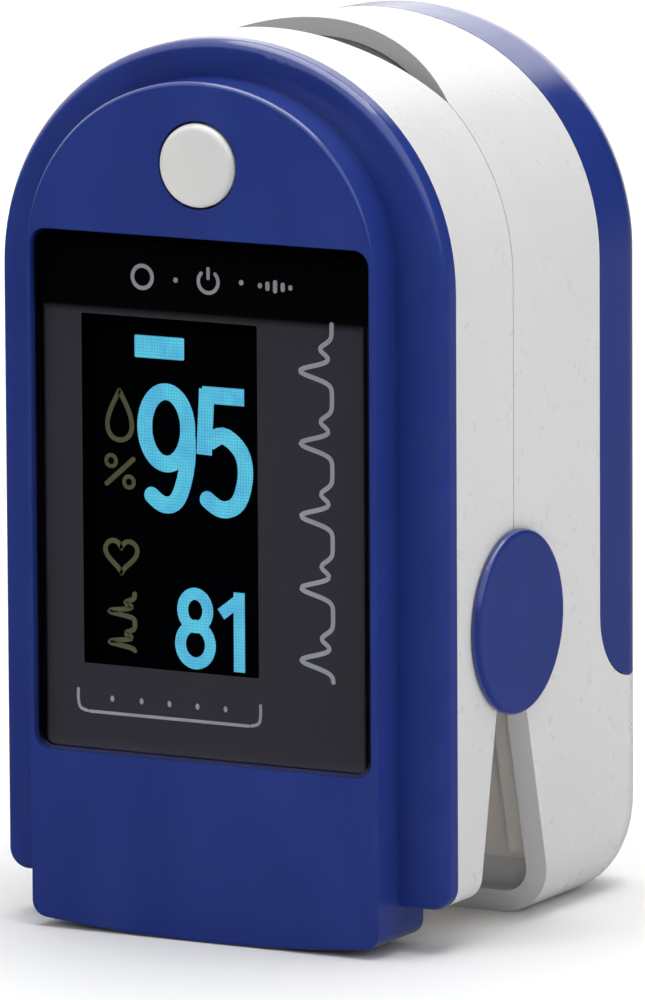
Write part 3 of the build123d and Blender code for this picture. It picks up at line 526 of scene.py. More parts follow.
def plastic(name, colour, flow, roughness, spread=0.04, peel=1.1, bump=0.06, marks=0.0, **plain):
    """Moulded plastic, with handling marks that dull it where marks is above 0."""
    material, b, shader = new_material(name)
    effect = b.effect("Moulded Plastic", Colour=colour, Flow_Colour=flow, Roughness=roughness,
                      Roughness_Spread=spread, Peel_Scale=peel)
    feed(b, shader, effect, strength=bump, depth=0.05 * MM, **plain)
    if marks > 0:
        mask = b.effect("Handling Marks", Amount=marks)["Mask"]
        b.wire(shader, Roughness=b.maths("MULTIPLY_ADD", mask, 0.25, effect["Roughness"]))
    return material


def metal(name, colour, dull, roughness, lines=6.0):
    """Drawn, rolled or plated metal."""
    material, b, shader = new_material(name)
    effect = b.effect("Drawn Metal", Colour=colour, Dull_Colour=dull, Roughness=roughness,
                      Line_Scale=lines)
    feed(b, shader, effect, strength=0.15, depth=0.02 * MM, Metallic=1.0)
    return material


def silicone(name, colour, bloom):
    """Soft silicone rubber."""
    material, b, shader = new_material(name)
    effect = b.effect("Soft Skin", Colour=colour, Bloom_Colour=bloom, Roughness=0.5)
    feed(b, shader, effect, strength=0.25, depth=0.04 * MM, Specular_IOR_Level=0.35, Sheen_Weight=0.05)
    return material


def circuit(name, lacquer, copper, scale):
    """A lacquered printed circuit board."""
    material, b, shader = new_material(name)
    effect = b.effect("Circuit Face", Lacquer=lacquer, Copper=copper, Run_Scale=scale)
    feed(b, shader, effect, strength=0.3, depth=0.03 * MM, Coat_Weight=0.3)
    return material


def window_glass(name):
    """Tinted acrylic, clear apart from smudges that blur its reflections."""
    material, b, shader = new_material(name)
    mask = b.effect("Handling Marks", Amount=0.6)["Mask"]
    b.wire(shader, Roughness=b.maths("MULTIPLY_ADD", mask, 0.05, 0.012), Base_Color=(0.86, 0.87, 0.9),
           Transmission_Weight=1.0, IOR=1.36)
    return material


PIXELS = {"Pitch": 0.2, "Gap": 0.14}


def lit_pixels(name, settings):
    """Lit display pixels: the tone drifts across the reading, with the dark lattice between."""
    material, b, shader = new_material(name)
    drift = b.remap(b.noise(b.millimetres(), 0.5, detail=3.0, roughness=0.6, distortion=0.5), 0.38, 0.62)
    tone = b.mixed(drift, settings.lit, settings.lit_deep)
    between = b.mixed(0.45, (0.01, 0.05, 0.08), tone)
    glow = b.mixed(b.effect("Pixel Lattice", **PIXELS)["Mask"], between, tone)
    b.wire(shader, Emission_Color=glow, Emission_Strength=settings.brightness,
           Base_Color=(0.01, 0.03, 0.05), Roughness=0.5)
    return material


def printed_ink(name, colour, faded):
    """Screen-printed ink with slightly uneven cover."""
    return plastic(name, colour, faded, roughness=0.45, spread=0.1, peel=6.0, bump=0.1,
                   Specular_IOR_Level=0.2)


def border_print_and_shade(name, settings):
    """The window's printed border: charcoal, and black along its top band, with painted shade down both
    sides where the lens's edges lie in shade.
    """
    material, b, shader = new_material(name)
    place = b.split(b.millimetres())
    top = on_window(0, BLACK_TOP)[1] / MM
    left, right = LENS_LOW[0] / MM + LEFT_SHADE_LINE, LENS_HIGH[0] / MM - RIGHT_SHADE_LINE
    black = b.remap(place["Z"], top - 0.25, top + 0.25)
    # painted shade: a dark line down each side of the border stands in for the shade at the lens's edges
    black = b.maths("MAXIMUM", black, b.remap(place["X"], right - 0.1, right + 0.1))
    black = b.maths("MAXIMUM", black, b.remap(place["X"], left + 0.1, left - 0.1))
    mottle = b.noise(b.millimetres(), 3.0, detail=4.0, roughness=0.6)
    grey = b.mixed(b.remap(mottle, 0.35, 0.65), settings.mask, scaled(settings.mask, 1.12))
    b.wire(shader, Base_Color=b.mixed(black, grey, (0.0012, 0.0011, 0.001)),
           Roughness=b.remap(mottle, 0.3, 0.7, 0.5, 0.65), Specular_IOR_Level=0.1)
    return material


def panel_glass(name):
    """The display panel: black glass with the unlit pixel lattice just showing."""
    material, b, shader = new_material(name)
    lattice = b.effect("Pixel Lattice", **PIXELS)["Mask"]
    gloss = b.remap(b.noise(b.millimetres(), 0.6, detail=3.0), 0.3, 0.7, 0.12, 0.2)
    b.wire(shader, Base_Color=b.mixed(lattice, (0.0008, 0.001, 0.0015), (0.0018, 0.0022, 0.0035)),
           Roughness=gloss, Specular_IOR_Level=0.12)
    return material


def flat_cable(name):
    """Amber film with copper runs that follow its length."""
    material, b, shader = new_material(name)
    across = b.split(b.millimetres())["X"]
    run = b.maths("GREATER_THAN", b.maths("FRACT", b.maths("DIVIDE", across, 0.7)), 0.45)
    mottle = b.remap(b.noise(b.millimetres(), 2.0, detail=3.0), 0.3, 0.7)
    film = b.mixed(mottle, (0.40, 0.14, 0.02), (0.50, 0.19, 0.03))
    b.wire(shader, Base_Color=b.mixed(run, film, (0.62, 0.30, 0.09)),
           Roughness=b.remap(mottle, 0, 1, 0.25, 0.4), Coat_Weight=0.4)
    return material


def clear_resin(name):
    """Clear casting resin over the light source, with a slight cloud."""
    material, b, shader = new_material(name)
    cloud = b.remap(b.noise(b.millimetres(), 3.0, detail=3.0), 0.4, 0.6)
    b.wire(shader, Base_Color=b.mixed(cloud, (0.62, 0.60, 0.55), (0.75, 0.72, 0.68)),
           Roughness=b.remap(cloud, 0, 1, 0.1, 0.2), Subsurface_Weight=0.3, Coat_Weight=0.6)
    return material


SLEEVE_ENDS, BAND_START = (0.012, 0.968), 0.76  # as shares of the cell's length


def cell_skin(name):
    """A cell's can and sleeve by how far along it is from its flat end, 0, to its stud, 1."""
    material, b, shader = new_material(name)
    along = b.add("ShaderNodeAttribute", attribute_name="along").outputs["Fac"]
    sleeve = b.maths("MULTIPLY", b.maths("GREATER_THAN", along, SLEEVE_ENDS[0]),
                     b.maths("LESS_THAN", along, SLEEVE_ENDS[1]))
    band = b.maths("GREATER_THAN", along, BAND_START)
    mottle = b.remap(b.noise(b.millimetres(), 4.0, detail=3.0), 0.3, 0.7)
    dark = b.mixed(mottle, (0.012, 0.013, 0.016), (0.018, 0.019, 0.023))
    bright = b.mixed(mottle, (0.52, 0.30, 0.10), (0.60, 0.36, 0.13))
    steel = b.mixed(mottle, (0.55, 0.55, 0.55), (0.66, 0.66, 0.66))
    bare = b.maths("SUBTRACT", 1.0, b.maths("MULTIPLY", sleeve, b.maths("SUBTRACT", 1.0, band)))
    b.wire(shader, Base_Color=b.mixed(sleeve, steel, b.mixed(band, dark, bright)), Metallic=bare,
           Roughness=b.remap(mottle, 0, 1, 0.22, 0.32))
    return material


# ---------------------------------------------------------------- glyphs and symbols
def arc(centre, radii, start, stop, count=32):
    """Part of an ellipse between two turns in degrees: the centre plus its radii times the cosine
    and sine of the turn."""
    t = np.radians(np.linspace(start, stop, count))
    return np.stack([centre[0] + radii[0] * np.cos(t), centre[1] + radii[1] * np.sin(t)], axis=1)


def ellipse(centre, radii, count=48):
    """A whole ellipse, with its last point one step short of its first."""
    return arc(centre, radii, 0, 360, count + 1)[:-1]


# Each figure is a list of centre lines in a unit box: ("loop", centre, radii), ("line", points),
# which keeps its corners, or ("curve", points), which is smoothed.
FIGURES = {
    "0": [("loop", (0.5, 0.5), (0.5, 0.5))],
    "1": [("line", [(-0.1, 0.74), (0.92, 0.97)]), ("line", [(0.88, 1.07), (0.88, -0.07)])],
    "2": [("curve", [(0, 0.78), (0.2, 0.96), (0.55, 1), (0.95, 0.85), (0.9, 0.6), (0.45, 0.3), (0, 0)]),
          ("line", [(-0.06, 0), (1.05, 0)])],
    "3": [("curve", [(0.02, 0.9), (0.45, 1), (0.92, 0.86), (0.85, 0.62), (0.4, 0.54)]),
          ("curve", [(0.4, 0.54), (0.9, 0.44), (1, 0.2), (0.5, 0), (0, 0.1)])],
    "4": [("line", [(0.75, -0.06), (0.75, 1)]), ("line", [(0.75, 1), (0, 0.3)]),
          ("line", [(0, 0.3), (1.06, 0.3)])],
    "5": [("line", [(0.98, 1), (0.02, 1)]), ("line", [(0.12, 1.05), (0.05, 0.47)]),
          ("curve", [(0.07, 0.55), (0.48, 0.65), (0.9, 0.52), (1.0, 0.3), (0.82, 0.06), (0.42, 0),
                     (-0.02, 0.12)])],
    "6": [("curve", [(0.95, 0.9), (0.55, 1), (0.12, 0.78), (0, 0.35)]), ("loop", (0.5, 0.3), (0.5, 0.3))],
    "7": [("line", [(-0.05, 1), (1.05, 1)]), ("line", [(1, 1), (0.35, -0.04)])],
    "8": [("loop", (0.5, 0.76), (0.42, 0.24)), ("loop", (0.5, 0.27), (0.5, 0.27))],
    "9": [("loop", (0.5, 0.68), (0.5, 0.32)),
          ("curve", [(1, 0.68), (0.98, 0.36), (0.76, 0.06), (0.42, 0), (0.02, 0.12)])],
}
NARROW_ONE = 0.72  # width of a 1, as a share of the other figures' width
STROKE_STEP = 0.002 * MM  # between crossing strokes of a figure


def figure_strokes(figure, low, size, width):
    """One figure's strokes, fitted to the box that starts at low and has that size."""
    inner = np.array(size) - width
    start = np.array(low) + width / 2
    parts = []
    for step, (kind, *data) in enumerate(FIGURES[figure]):
        front = LIT_FRONT - STROKE_STEP * step
        if kind == "loop":
            loop = ellipse(start + inner * data[0], inner * data[1])
            parts.append(stroke(loop, width, front, LIT_BACK, closed=True))
            continue
        points = start + inner * np.array(data[0])
        points = smooth_line(points, 60) if kind == "curve" else points
        parts.append(stroke(points, width, front, LIT_BACK, blunt=kind == "line"))
    return parts


def number_strokes(value, low, size, width, gap):
    """The strokes of a two-figure number side by side in a box, with all its sizes in mm."""
    text = f"{value:02d}"
    shares = [NARROW_ONE if figure == "1" else 1.0 for figure in text]
    each = (size[0] - gap) / sum(shares)
    parts, left = [], low[0]
    for figure, share in zip(text, shares):
        box = np.array([each * share, size[1]]) * MM
        parts += figure_strokes(figure, on_window(left, low[1]), box, width * MM)
        left += each * share + gap
    return parts


def drop_outline(centre, size):
    """A drop: radius falls from the round foot to a point at the top."""
    t = np.linspace(0, 2 * np.pi, 48, endpoint=False)
    x = 0.475 * size * np.sin(t) * np.sin(t / 2) ** 1.3
    return np.stack([centre[0] + x, centre[1] + 0.62 * size * np.cos(t)], axis=1)


def heart_outline(centre, size):
    """A heart: x is the sine cubed, z a sum of four cosines of the same turn."""
    t = np.linspace(0, 2 * np.pi, 56, endpoint=False)
    x = 16 * np.sin(t) ** 3
    z = 13 * np.cos(t) - 5 * np.cos(2 * t) - 2 * np.cos(3 * t) - np.cos(4 * t)
    return np.stack([centre[0] + size * x / 34, centre[1] + size * (z + 2) / 34], axis=1)


def pulse_wave(low_z, high_z, base_x, height, beats):
    """A pulse wave along Z: each beat is a sharp bell and a small later one, raised along -X."""
    z = np.linspace(low_z, high_z, 60 * beats)
    phase = (z - low_z) / (high_z - low_z) * beats % 1.0
    wave = np.exp(-(((phase - 0.30) / 0.11) ** 2)) + 0.36 * np.exp(-(((phase - 0.62) / 0.10) ** 2))
    return np.stack([base_x - height * wave, z], axis=1)


# ---------------------------------------------------------------- outlines
def rounded_rectangle(low, high, radius, per_corner=8):
    """A closed outline in X and Z: four quarter circles, one in each corner, joined by the sides."""
    corners = [((high[0] - radius, high[1] - radius), 0), ((low[0] + radius, high[1] - radius), 90),
               ((low[0] + radius, low[1] + radius), 180), ((high[0] - radius, low[1] + radius), 270)]
    return np.concatenate([arc(c, (radius, radius), a, a + 90, per_corner) for c, a in corners])


def plate(outline, y_front, y_back):
    """A flat plate in X and Z: its outline at both depths, with both faces filled flat."""
    return swept(np.stack([at_depth(outline, y_back), at_depth(outline, y_front)]))


def framed_plate(outer, inner, y_front, y_back):
    """A flat frame between two closed outlines that have the same number of points."""
    corners = [(outer, y_front), (inner, y_front), (inner, y_back), (outer, y_back)]
    rows = np.stack([at_depth(outline, y) for outline, y in corners])
    return rows, grid_faces(4, len(outer), True, True).tolist()


# ---------------------------------------------------------------- the window
# u and v are in mm, right of and above the artwork's lower left corner.
ARTWORK_CORNER = LENS_LOW[::2] + np.array([0.7, 0.14]) * MM
OPENING_LOW, OPENING_HIGH = (2.4, 5.45), (15.2, 28.2)
BLACK_TOP = 28.5  # v above which the border is black
LEFT_SHADE_LINE, RIGHT_SHADE_LINE = 0.4, 0.85  # width in mm of the dark lines down the border's sides: painted shade where the lens's edges lie in shade

# depths in Y of the border, of the ink on it and of the lit pixels on the panel
PRINT_BACK = LENS_HIGH[1] - 0.02 * MM
PRINT_FRONT = PRINT_BACK - 0.015 * MM
INK_BACK = PRINT_FRONT + 0.004 * MM
INK_FRONT = PRINT_FRONT - 0.012 * MM
LIT_BACK = PANEL_LOW[1] + 0.01 * MM
LIT_FRONT = PANEL_LOW[1] - 0.03 * MM

SYMBOL_ROW = 30.8  # v of the middle of the symbols above the display
RING_U, POWER_U, RING_RADII = 6.9, 11.7, (0.72, 0.72)  # the power sign's arc is as wide as the ring
DOTS, DOT_RADII = ((9.33, 30.75), (14.1, 30.9)), (0.17, 0.17)
BARS_START, BARS_STEP, BAR_HEIGHTS = 15.45, 0.55, (0.35, 0.6, 0.85, 0.6, 0.35)
BRACKET = np.array([(1.95, 3.8), (1.95, 3.0), (2.12, 2.5), (2.7, 2.3)])
BRACKET_ENDS = 17.25  # u of its left end and its right end added
MARKS, MARK_RADII = [(u, 3.25) for u in (4.45, 6.6, 8.65, 10.7, 12.75)], (0.14, 0.2)


def on_window(u, v):
    """A place on the artwork in X and Z."""
    return ARTWORK_CORNER + np.array([u, v]) * MM


def window_path(points):
    """Places on the artwork, one after the other."""
    return np.array([on_window(u, v) for u, v in points])


def window_ellipse(u, v, radii, count=48):
    """An ellipse on the artwork, with its radii in mm."""
    return ellipse(on_window(u, v), np.array(radii) * MM, count)


def border_shape():
    """The printed border: a sheet of the window's outline with the display's opening in it."""
    margin = 0.08 * MM
    outer = rounded_rectangle(LENS_LOW[::2] + margin, LENS_HIGH[::2] - margin, 1.0 * MM)
    inner = rounded_rectangle(on_window(*OPENING_LOW), on_window(*OPENING_HIGH), 0.15 * MM)
    return framed_plate(outer, inner, PRINT_FRONT, PRINT_BACK)


def ink(path, width, closed=False):
    """A printed line of that width in mm."""
    return stroke(path, width * MM, INK_FRONT, INK_BACK, closed)


def ink_dots(places, radii, count):
    """Small filled ellipses of ink."""
    return [plate(window_ellipse(u, v, radii, count), INK_FRONT, PRINT_FRONT) for u, v in places]


def symbol_shapes():
    """Above the display a ring, a power sign and bars with dots between them, and below it a
    bracket with five marks."""
    parts = [ink(window_ellipse(RING_U, SYMBOL_ROW, RING_RADII), width=0.26, closed=True)]
    parts += ink_dots(DOTS, DOT_RADII, 20)
    power = on_window(POWER_U, SYMBOL_ROW)
    parts.append(ink(arc(power, np.array(RING_RADII) * MM, 125, 415), width=0.24))
    parts.append(ink([power + (0, 0.1 * MM), power + (0, 0.95 * MM)], width=0.24))
    for k, height in enumerate(BAR_HEIGHTS):
        foot = on_window(BARS_START + BARS_STEP * k, SYMBOL_ROW - height / 2)
        parts.append(ink([foot, foot + (0, height * MM)], width=0.3))
    mirrored = (BRACKET_ENDS, 0) + BRACKET[::-1] * (-1, 1)
    for points in (smooth_line(window_path(BRACKET), 30), window_path([BRACKET[-1], mirrored[0]]),
                   smooth_line(window_path(mirrored), 30)):
        parts.append(ink(points, width=0.2))
    return joined(parts + ink_dots(MARKS, MARK_RADII, 18))


def wave_shapes():
    """A pulse wave up the window's right side."""
    (base, low), (_, high) = window_path([(20.6, 5.5), (20.6, 28.8)])
    wave = pulse_wave(low, high, base, 2.3 * MM, 5)
    return stroke(wave, 0.3 * MM, INK_FRONT, INK_BACK, count=320)


def lit_line(path, width=0.32, closed=False, count=40):
    """A lit line of that width in mm on the panel."""
    return stroke(path, width * MM, LIT_FRONT, LIT_BACK, closed, count)


def unit_shapes():
    """The symbols beside the readings: a drop and a share sign above, a heart and a wave below."""
    parts = [lit_line(drop_outline(on_window(4.7, 21.6), 2.6 * MM), closed=True),
             lit_line(window_path([(3.6, 17.0), (5.8, 18.9)]))]
    for u, v in ((4.05, 18.6), (5.35, 17.3)):
        parts.append(lit_line(window_ellipse(u, v, (0.36, 0.36), 24), 0.26, True))
    parts.append(lit_line(heart_outline(on_window(4.75, 12.4), 2.5 * MM), closed=True))
    (base, low), (_, high) = window_path([(5.7, 6.2), (5.7, 10.2)])
    parts.append(lit_line(pulse_wave(low, high, base, 1.9 * MM, 2), count=120))
    return joined(parts)


def reading_shapes(settings):
    """The two readings and the signal bar above them."""
    bar = rounded_rectangle(on_window(5.85, 25.45), on_window(9.45, 26.9), 0.08 * MM, 3)
    parts = [plate(bar, LIT_FRONT, LIT_BACK)]
    parts += number_strokes(settings.upper_number, (6.0, 15.5), (8.4, 8.4), 1.08, -0.05)
    parts += number_strokes(settings.lower_number, (8.65, 5.5), (5.25, 5.3), 0.78, 0.15)
    return joined(parts)


# ---------------------------------------------------------------- springs, ribbon, cells, marks
PIN_AXIS_Y, PIN_AXIS_Z = PIVOT[1], PIVOT[2]
COIL_RADIUS, COIL_WIRE, COIL_PITCH, LEG_LENGTH = 1.72 * MM, 0.3 * MM, 0.66 * MM, 10.5 * MM
LEG_TURNS = (14.2, 168.8 + 4 * 360.0)
CELL_WIRE, CELL_TAPER, CELL_TURNS = 0.25 * MM, 0.62 * MM, 4.6
RIBBON_HALF, RIBBON_EDGE = 0.1 * MM, 0.12 * MM  # half its thickness, and its rounded edge's width
RIBBON_NEAR, RIBBON_FAR = PIN_AXIS_Y - 2.3 * MM, PIN_AXIS_Y + 2.5 * MM


def hinge_spring_path():
    """A helix about the hinge axis, with a straight leg at each end in line with its last point.
    Returns the path and the coil's half length."""
    turn = np.radians(np.linspace(*LEG_TURNS, 260))
    slope = COIL_PITCH / (2 * np.pi)
    half = slope * (turn[-1] - turn[0]) / 2
    coil = np.column_stack([
        -half + slope * (turn - turn[0]),
        PIN_AXIS_Y + COIL_RADIUS * np.cos(turn),
        PIN_AXIS_Z + COIL_RADIUS * np.sin(turn),
    ])
    ends = turn[[0, -1]]
    heading = units(np.column_stack([np.full(2, slope), -COIL_RADIUS * np.sin(ends),
                                     COIL_RADIUS * np.cos(ends)]))
    out = np.linspace(LEG_LENGTH, LEG_LENGTH / 30, 30)[:, None]
    first = coil[0] - heading[0] * out
    last = coil[-1] + heading[1] * out[::-1]
    return np.concatenate([first, coil, last]), half


def cell_spring_path(node, wide_low):
    """A cell contact's coil: its radius shrinks away from the contact and its first and last turns
    lie flat. wide_low says that the wide end is at the bottom."""
    low, high = span(node)
    middle = (low + high) / 2
    t = np.linspace(0, 1, 260)
    turn = 2 * np.pi * CELL_TURNS * t
    rise = np.clip((t - 0.16) / 0.68, 0, 1)
    wide = (high[0] - low[0]) / 2 - CELL_WIRE
    radius = wide - CELL_TAPER * np.clip((t - 0.1) / 0.9, 0, 1)
    ends = low[2] + CELL_WIRE, high[2] - CELL_WIRE
    start, stop = ends if wide_low else ends[::-1]
    z = start + (stop - start) * rise
    return np.column_stack([middle[0] + radius * np.cos(turn), middle[1] + radius * np.sin(turn), z])


def ribbon_shape():
    """The link ribbon: a thin flat section carried along its run in Y and Z. Between the two halves
    it sags by a squared sine."""
    low, high = span("link_ribbon")
    level = high[2] - RIBBON_HALF
    sag = level - (low[2] + RIBBON_HALF)
    y = np.linspace(low[1], high[1], 160)
    share = np.clip((y - RIBBON_NEAR) / (RIBBON_FAR - RIBBON_NEAR), 0, 1)
    path = np.column_stack([y, level - sag * np.sin(np.pi * share) ** 2])
    up = units(np.gradient(path, axis=0))[:, ::-1] * (-1, 1) * RIBBON_HALF
    left, right = low[0] + RIBBON_EDGE, high[0] - RIBBON_EDGE
    section = [(low[0], -0.3), (left, -1), (right, -1), (high[0], -0.3),
               (high[0], 0.3), (right, 1), (left, 1), (low[0], 0.3)]
    ring = [np.column_stack([np.full(len(y), x), path + side * up]) for x, side in section]
    return swept(np.stack(ring, axis=1))


def around(rows, columns):
    """The border of a block of grid points as one closed loop of (row, column) pairs."""
    (r0, r1), (c0, c1) = rows, columns
    wide, tall = np.ones(c1 - c0, int), np.ones(r1 - r0, int)
    r = np.concatenate([r0 * wide, np.arange(r0, r1), r1 * wide, np.arange(r1, r0, -1)])
    c = np.concatenate([np.arange(c0, c1), c1 * tall, np.arange(c1, c0, -1), c0 * tall])
    return r, c


def pierced_slab(inner, outer, hole_rows, hole_columns):
    """A solid between two grids of the same size, with a block of their faces left out as a hole.
    Walls join the two grids round the outside and round the hole."""
    rows, columns = inner.shape[:2]
    quads = grid_faces(rows, columns)
    r, c = np.meshgrid(np.arange(rows - 1), np.arange(columns - 1), indexing="ij")
    in_rows = (r >= hole_rows[0]) & (r < hole_rows[1])
    in_columns = (c >= hole_columns[0]) & (c < hole_columns[1])
    kept = quads[~(in_rows & in_columns).ravel()]
    count = rows * columns
    faces = kept.tolist() + (kept[:, ::-1] + count).tolist()
    for block in (((0, rows - 1), (0, columns - 1)), (hole_rows, hole_columns)):
        r, c = around(*block)
        loop = r * columns + c
        after = np.roll(loop, -1)
        faces += np.stack([loop, after, after + count, loop + count], axis=1).tolist()
    return np.concatenate([inner.reshape(-1, 3), outer.reshape(-1, 3)]), faces


CROWN_RADIUS_SHARE, CROWN_STRETCH = 1.075, 1.06  # of the shell's half width, and of X in the arc
CHANNEL_HALF_WIDTH = 10.3 * MM
SHALLOWING = 0.4 * MM  # what the arc's depth loses from the mouth to the finger stop
LEVEL_ROW = 6 * MM  # above the light source: below it the grid's rows are level
LIP_THICKNESS, BACK_WALL = 0.45 * MM, 0.2 * MM
RIDGE_PITCH, RIDGE_HEIGHT, RIDGE_COUNT = 1.7 * MM, 0.22 * MM, 6
RIDGE_START, RIDGE_REACH = 2.2 * MM, 0.86 * CHANNEL_HALF_WIDTH
ROLL_LENGTH, ROLL_DEPTH = 0.7 * MM, 0.5 * MM
BESIDE, ACROSS, ABOVE, CROWN = 30, 8, 16, 61  # grid points: beside the hole, across it, above, crown


def liner_grid(low, high, crown_radius, crown_z, x_hole, z_hole):
    """A liner's grid of X and Z, and the height of its top over each column. Lines of the grid run
    along the sensor hole's sides, and its upper rows bend until they follow the crown."""
    emitter_z = sum(span("light_emitter"))[2] / 2
    level_z = emitter_z + LEVEL_ROW
    outer_x = np.linspace(x_hole, high[0], BESIDE)
    x = np.concatenate([-outer_x[::-1], np.linspace(-x_hole, x_hole, ACROSS)[1:-1], outer_x])
    rows = np.concatenate([
        np.linspace(low[2], emitter_z - z_hole, BESIDE),
        np.linspace(emitter_z - z_hole, emitter_z + z_hole, ACROSS)[1:],
        np.linspace(emitter_z + z_hole, level_z, ABOVE)[1:],
    ])
    top = crown_z + np.sqrt(crown_radius**2 - (x * CROWN_STRETCH) ** 2)
    share = np.sin(np.linspace(0, np.pi / 2, CROWN)[1:, None])
    z = np.concatenate([np.repeat(rows[:, None], len(x), axis=1), level_z + share * (top - level_z)])
    return np.broadcast_to(x, z.shape), z, top


def liner_shape(node, side, depth, hole_half, drop, lip):
    """A finger liner. Across the body its face is an arc of that depth, flat beyond the arc's ends.
    Up the body the arc gets shallower towards the finger stop. Near the mouth soft ridges stand on
    it, each a squared sine that fades towards the sides, and its top edge rolls away in a quarter
    circle. The top follows the crown, less the drop, and its last stretch is a thin lip in front of
    the shell's wall. side is -1 in front, 1 behind."""
    low, high = span(node)
    shell_high = span("lower_shell")[1]
    crown_radius = CROWN_RADIUS_SHARE * shell_high[0]
    x, z, top = liner_grid(low, high, crown_radius, shell_high[2] - crown_radius - drop, *hole_half)
    flat, back = sorted(abs(y - PIVOT[1]) for y in (low[1], high[1]))

    radius = (CHANNEL_HALF_WIDTH**2 + depth**2) / (2 * depth)
    here = depth - SHALLOWING * (high[2] - z) / (high[2] - low[2])
    sunk = here - radius + np.sqrt(radius**2 - np.minimum(abs(x), CHANNEL_HALF_WIDTH) ** 2)
    ridge = np.clip((top - RIDGE_START - z) / RIDGE_PITCH, 0, RIDGE_COUNT)
    fade = np.clip(1 - (x / RIDGE_REACH) ** 2, 0, 1) ** 0.5
    sunk = sunk - RIDGE_HEIGHT * fade * np.sin(np.pi * ridge) ** 2
    roll = np.clip(1 - (top - z) / ROLL_LENGTH, 0, 1)
    sunk = np.maximum(sunk, flat) + ROLL_DEPTH * (1 - np.sqrt(1 - roll**2))

    front_y = PIVOT[1] + side * np.minimum(sunk, back - BACK_WALL)
    back_y = PIVOT[1] + side * np.where(z > top - lip, np.minimum(sunk + LIP_THICKNESS, back), back)
    hole = (BESIDE - 1, BESIDE + ACROSS - 2)
    return pierced_slab(np.stack([x, front_y, z], axis=2), np.stack([x, back_y, z], axis=2), hole, hole)


# node, body, side of the parting plane, and in mm: depth at the mouth, half size of the sensor
# hole, drop from the crown's top, and height of the lip
LINERS = (
    ("upper_liner", DISPLAY, -1, 2.2, (1.9, 1.6), 1.75, 0.0),
    ("lower_liner", BATTERY, 1, 3.3, (2.5, 2.1), 1.15, 0.6),
)

STUD_RADIUS, STUD_HEIGHT = 1.9, 0.9  # of a cell, in mm


def cell_profile(radius, length):
    """Radius against height, in metres, of a cell from its flat end: crimped rim, sleeve edge, can,
    shoulder groove and stud."""
    r, s, top = radius / MM, STUD_RADIUS, length / MM
    can = top - STUD_HEIGHT
    profile = [
        (0, 0.12), (r - 1.6, 0.12), (r - 1.35, 0.0), (r - 0.55, 0.0), (r - 0.32, 0.06),
        (r - 0.16, 0.22), (r - 0.10, 0.45), (r - 0.02, 0.5), (r, 0.6), (r, can - 1.0),
        (r - 0.06, can - 0.6), (r - 0.3, can - 0.3), (r - 0.8, can - 0.14), (r - 1.3, can - 0.2),
        (r - 1.5, can - 0.42), (s + 0.5, can - 0.42), (s + 0.2, can - 0.25), (s + 0.02, can - 0.05),
        (s, can + 0.1), (s, top - 0.25), (s - 0.08, top - 0.08), (s - 0.3, top), (0, top),
    ]
    return np.array(profile) * MM


def add_cell(node, stud_up, material):
    """A cell in a packed cell's place, with how far along it each point is kept as an attribute."""
    low, high = span(node)
    middle, length = (low + high) / 2, high[2] - low[2]
    profile = cell_profile((high[0] - low[0]) / 2, length)
    if not stud_up:
        profile[:, 1] = length - profile[:, 1]
    shape = lathe(profile, (middle[0], middle[1], low[2]), 72)
    piece = add_piece(node + "_cell", shape, material, BATTERY, sharp=40)
    places = np.empty(len(piece.data.vertices) * 3)
    piece.data.vertices.foreach_get("co", places)
    along = (places[2::3] - low[2]) / length
    attribute = piece.data.attributes.new("along", "FLOAT", "POINT")
    attribute.data.foreach_set("value", along if stud_up else 1 - along)
    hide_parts(node)


GRIP_RISE = 0.35 * MM  # of the battery cover's grip bars above its rear face
ARROW_TIP, ARROW_ARM, ARROW_WIRE = 19.7 * MM, 3.2 * MM, 0.34 * MM


# ---------------------------------------------------------------- operators
class OXIMETER_OT_shells(Operator):
    """Gives the face cover, battery cover, hinge caps and both shells their moulded finishes"""

    bl_idname = "oximeter.shells"
    bl_label = "Shells and covers"

    def execute(self, context):
        s = context.scene.oximeter_finish
        blue = plastic("Blue Gloss", s.blue, s.blue_flow, roughness=s.gloss, peel=1.0, bump=0.05,
                       marks=0.25, Specular_IOR_Level=0.42, Coat_Weight=0.5, Coat_Roughness=0.1)
        white = plastic("White Gloss", s.white, s.white_flow, roughness=s.gloss + WHITE_DULLER,
                        spread=0.01, peel=0.5, bump=0.006, Specular_IOR_Level=0.45)
        finish_nodes(blue, "front_cover", "battery_cover", "hinge_cap_left", "hinge_cap_right")
        finish_nodes(white, "upper_shell", "lower_shell")
        return {"FINISHED"}


class OXIMETER_OT_button(Operator):
    """Gives the power button and its switch their finishes"""

    bl_idname = "oximeter.button"
    bl_label = "Power button"

    def execute(self, context):
        s = context.scene.oximeter_finish
        pearl = plastic("Pearl", s.pearl, s.pearl_flow, roughness=0.32, spread=0.06, peel=2.0, bump=0.05,
                        marks=0.4, Metallic=0.15, Coat_Weight=0.3, Coat_Roughness=0.15)
        finish_nodes(pearl, "power_button")
        black = plastic("Switch Black", (0.02, 0.02, 0.022), (0.03, 0.03, 0.033), roughness=0.4)
        finish_nodes(black, "switch_plunger")
        tin = metal("Switch Tin", (0.62, 0.62, 0.60), (0.42, 0.42, 0.41), roughness=0.3)
        finish_nodes(tin, "switch_body")
        return {"FINISHED"}


class OXIMETER_OT_window(Operator):
    """Adds the window's glass finish, its printed border with painted shade down its sides, and the
    symbols on it
    """

    bl_idname = "oximeter.window"
    bl_label = "Window and its print"

    def execute(self, context):
        s = context.scene.oximeter_window
        finish_nodes(window_glass("Window Glass"), "display_window")
        frame["nodes"]["display_window"].visible_shadow = False
        border = border_print_and_shade("Border Print And Shade", s)
        symbols = printed_ink("Symbol Ink", s.ink, scaled(s.ink, 0.82))
        add_piece("window_border", border_shape(), border, DISPLAY)
        add_piece("window_symbols", symbol_shapes(), symbols, DISPLAY)
        add_piece("window_wave", wave_shapes(), symbols, DISPLAY)
        return {"FINISHED"}


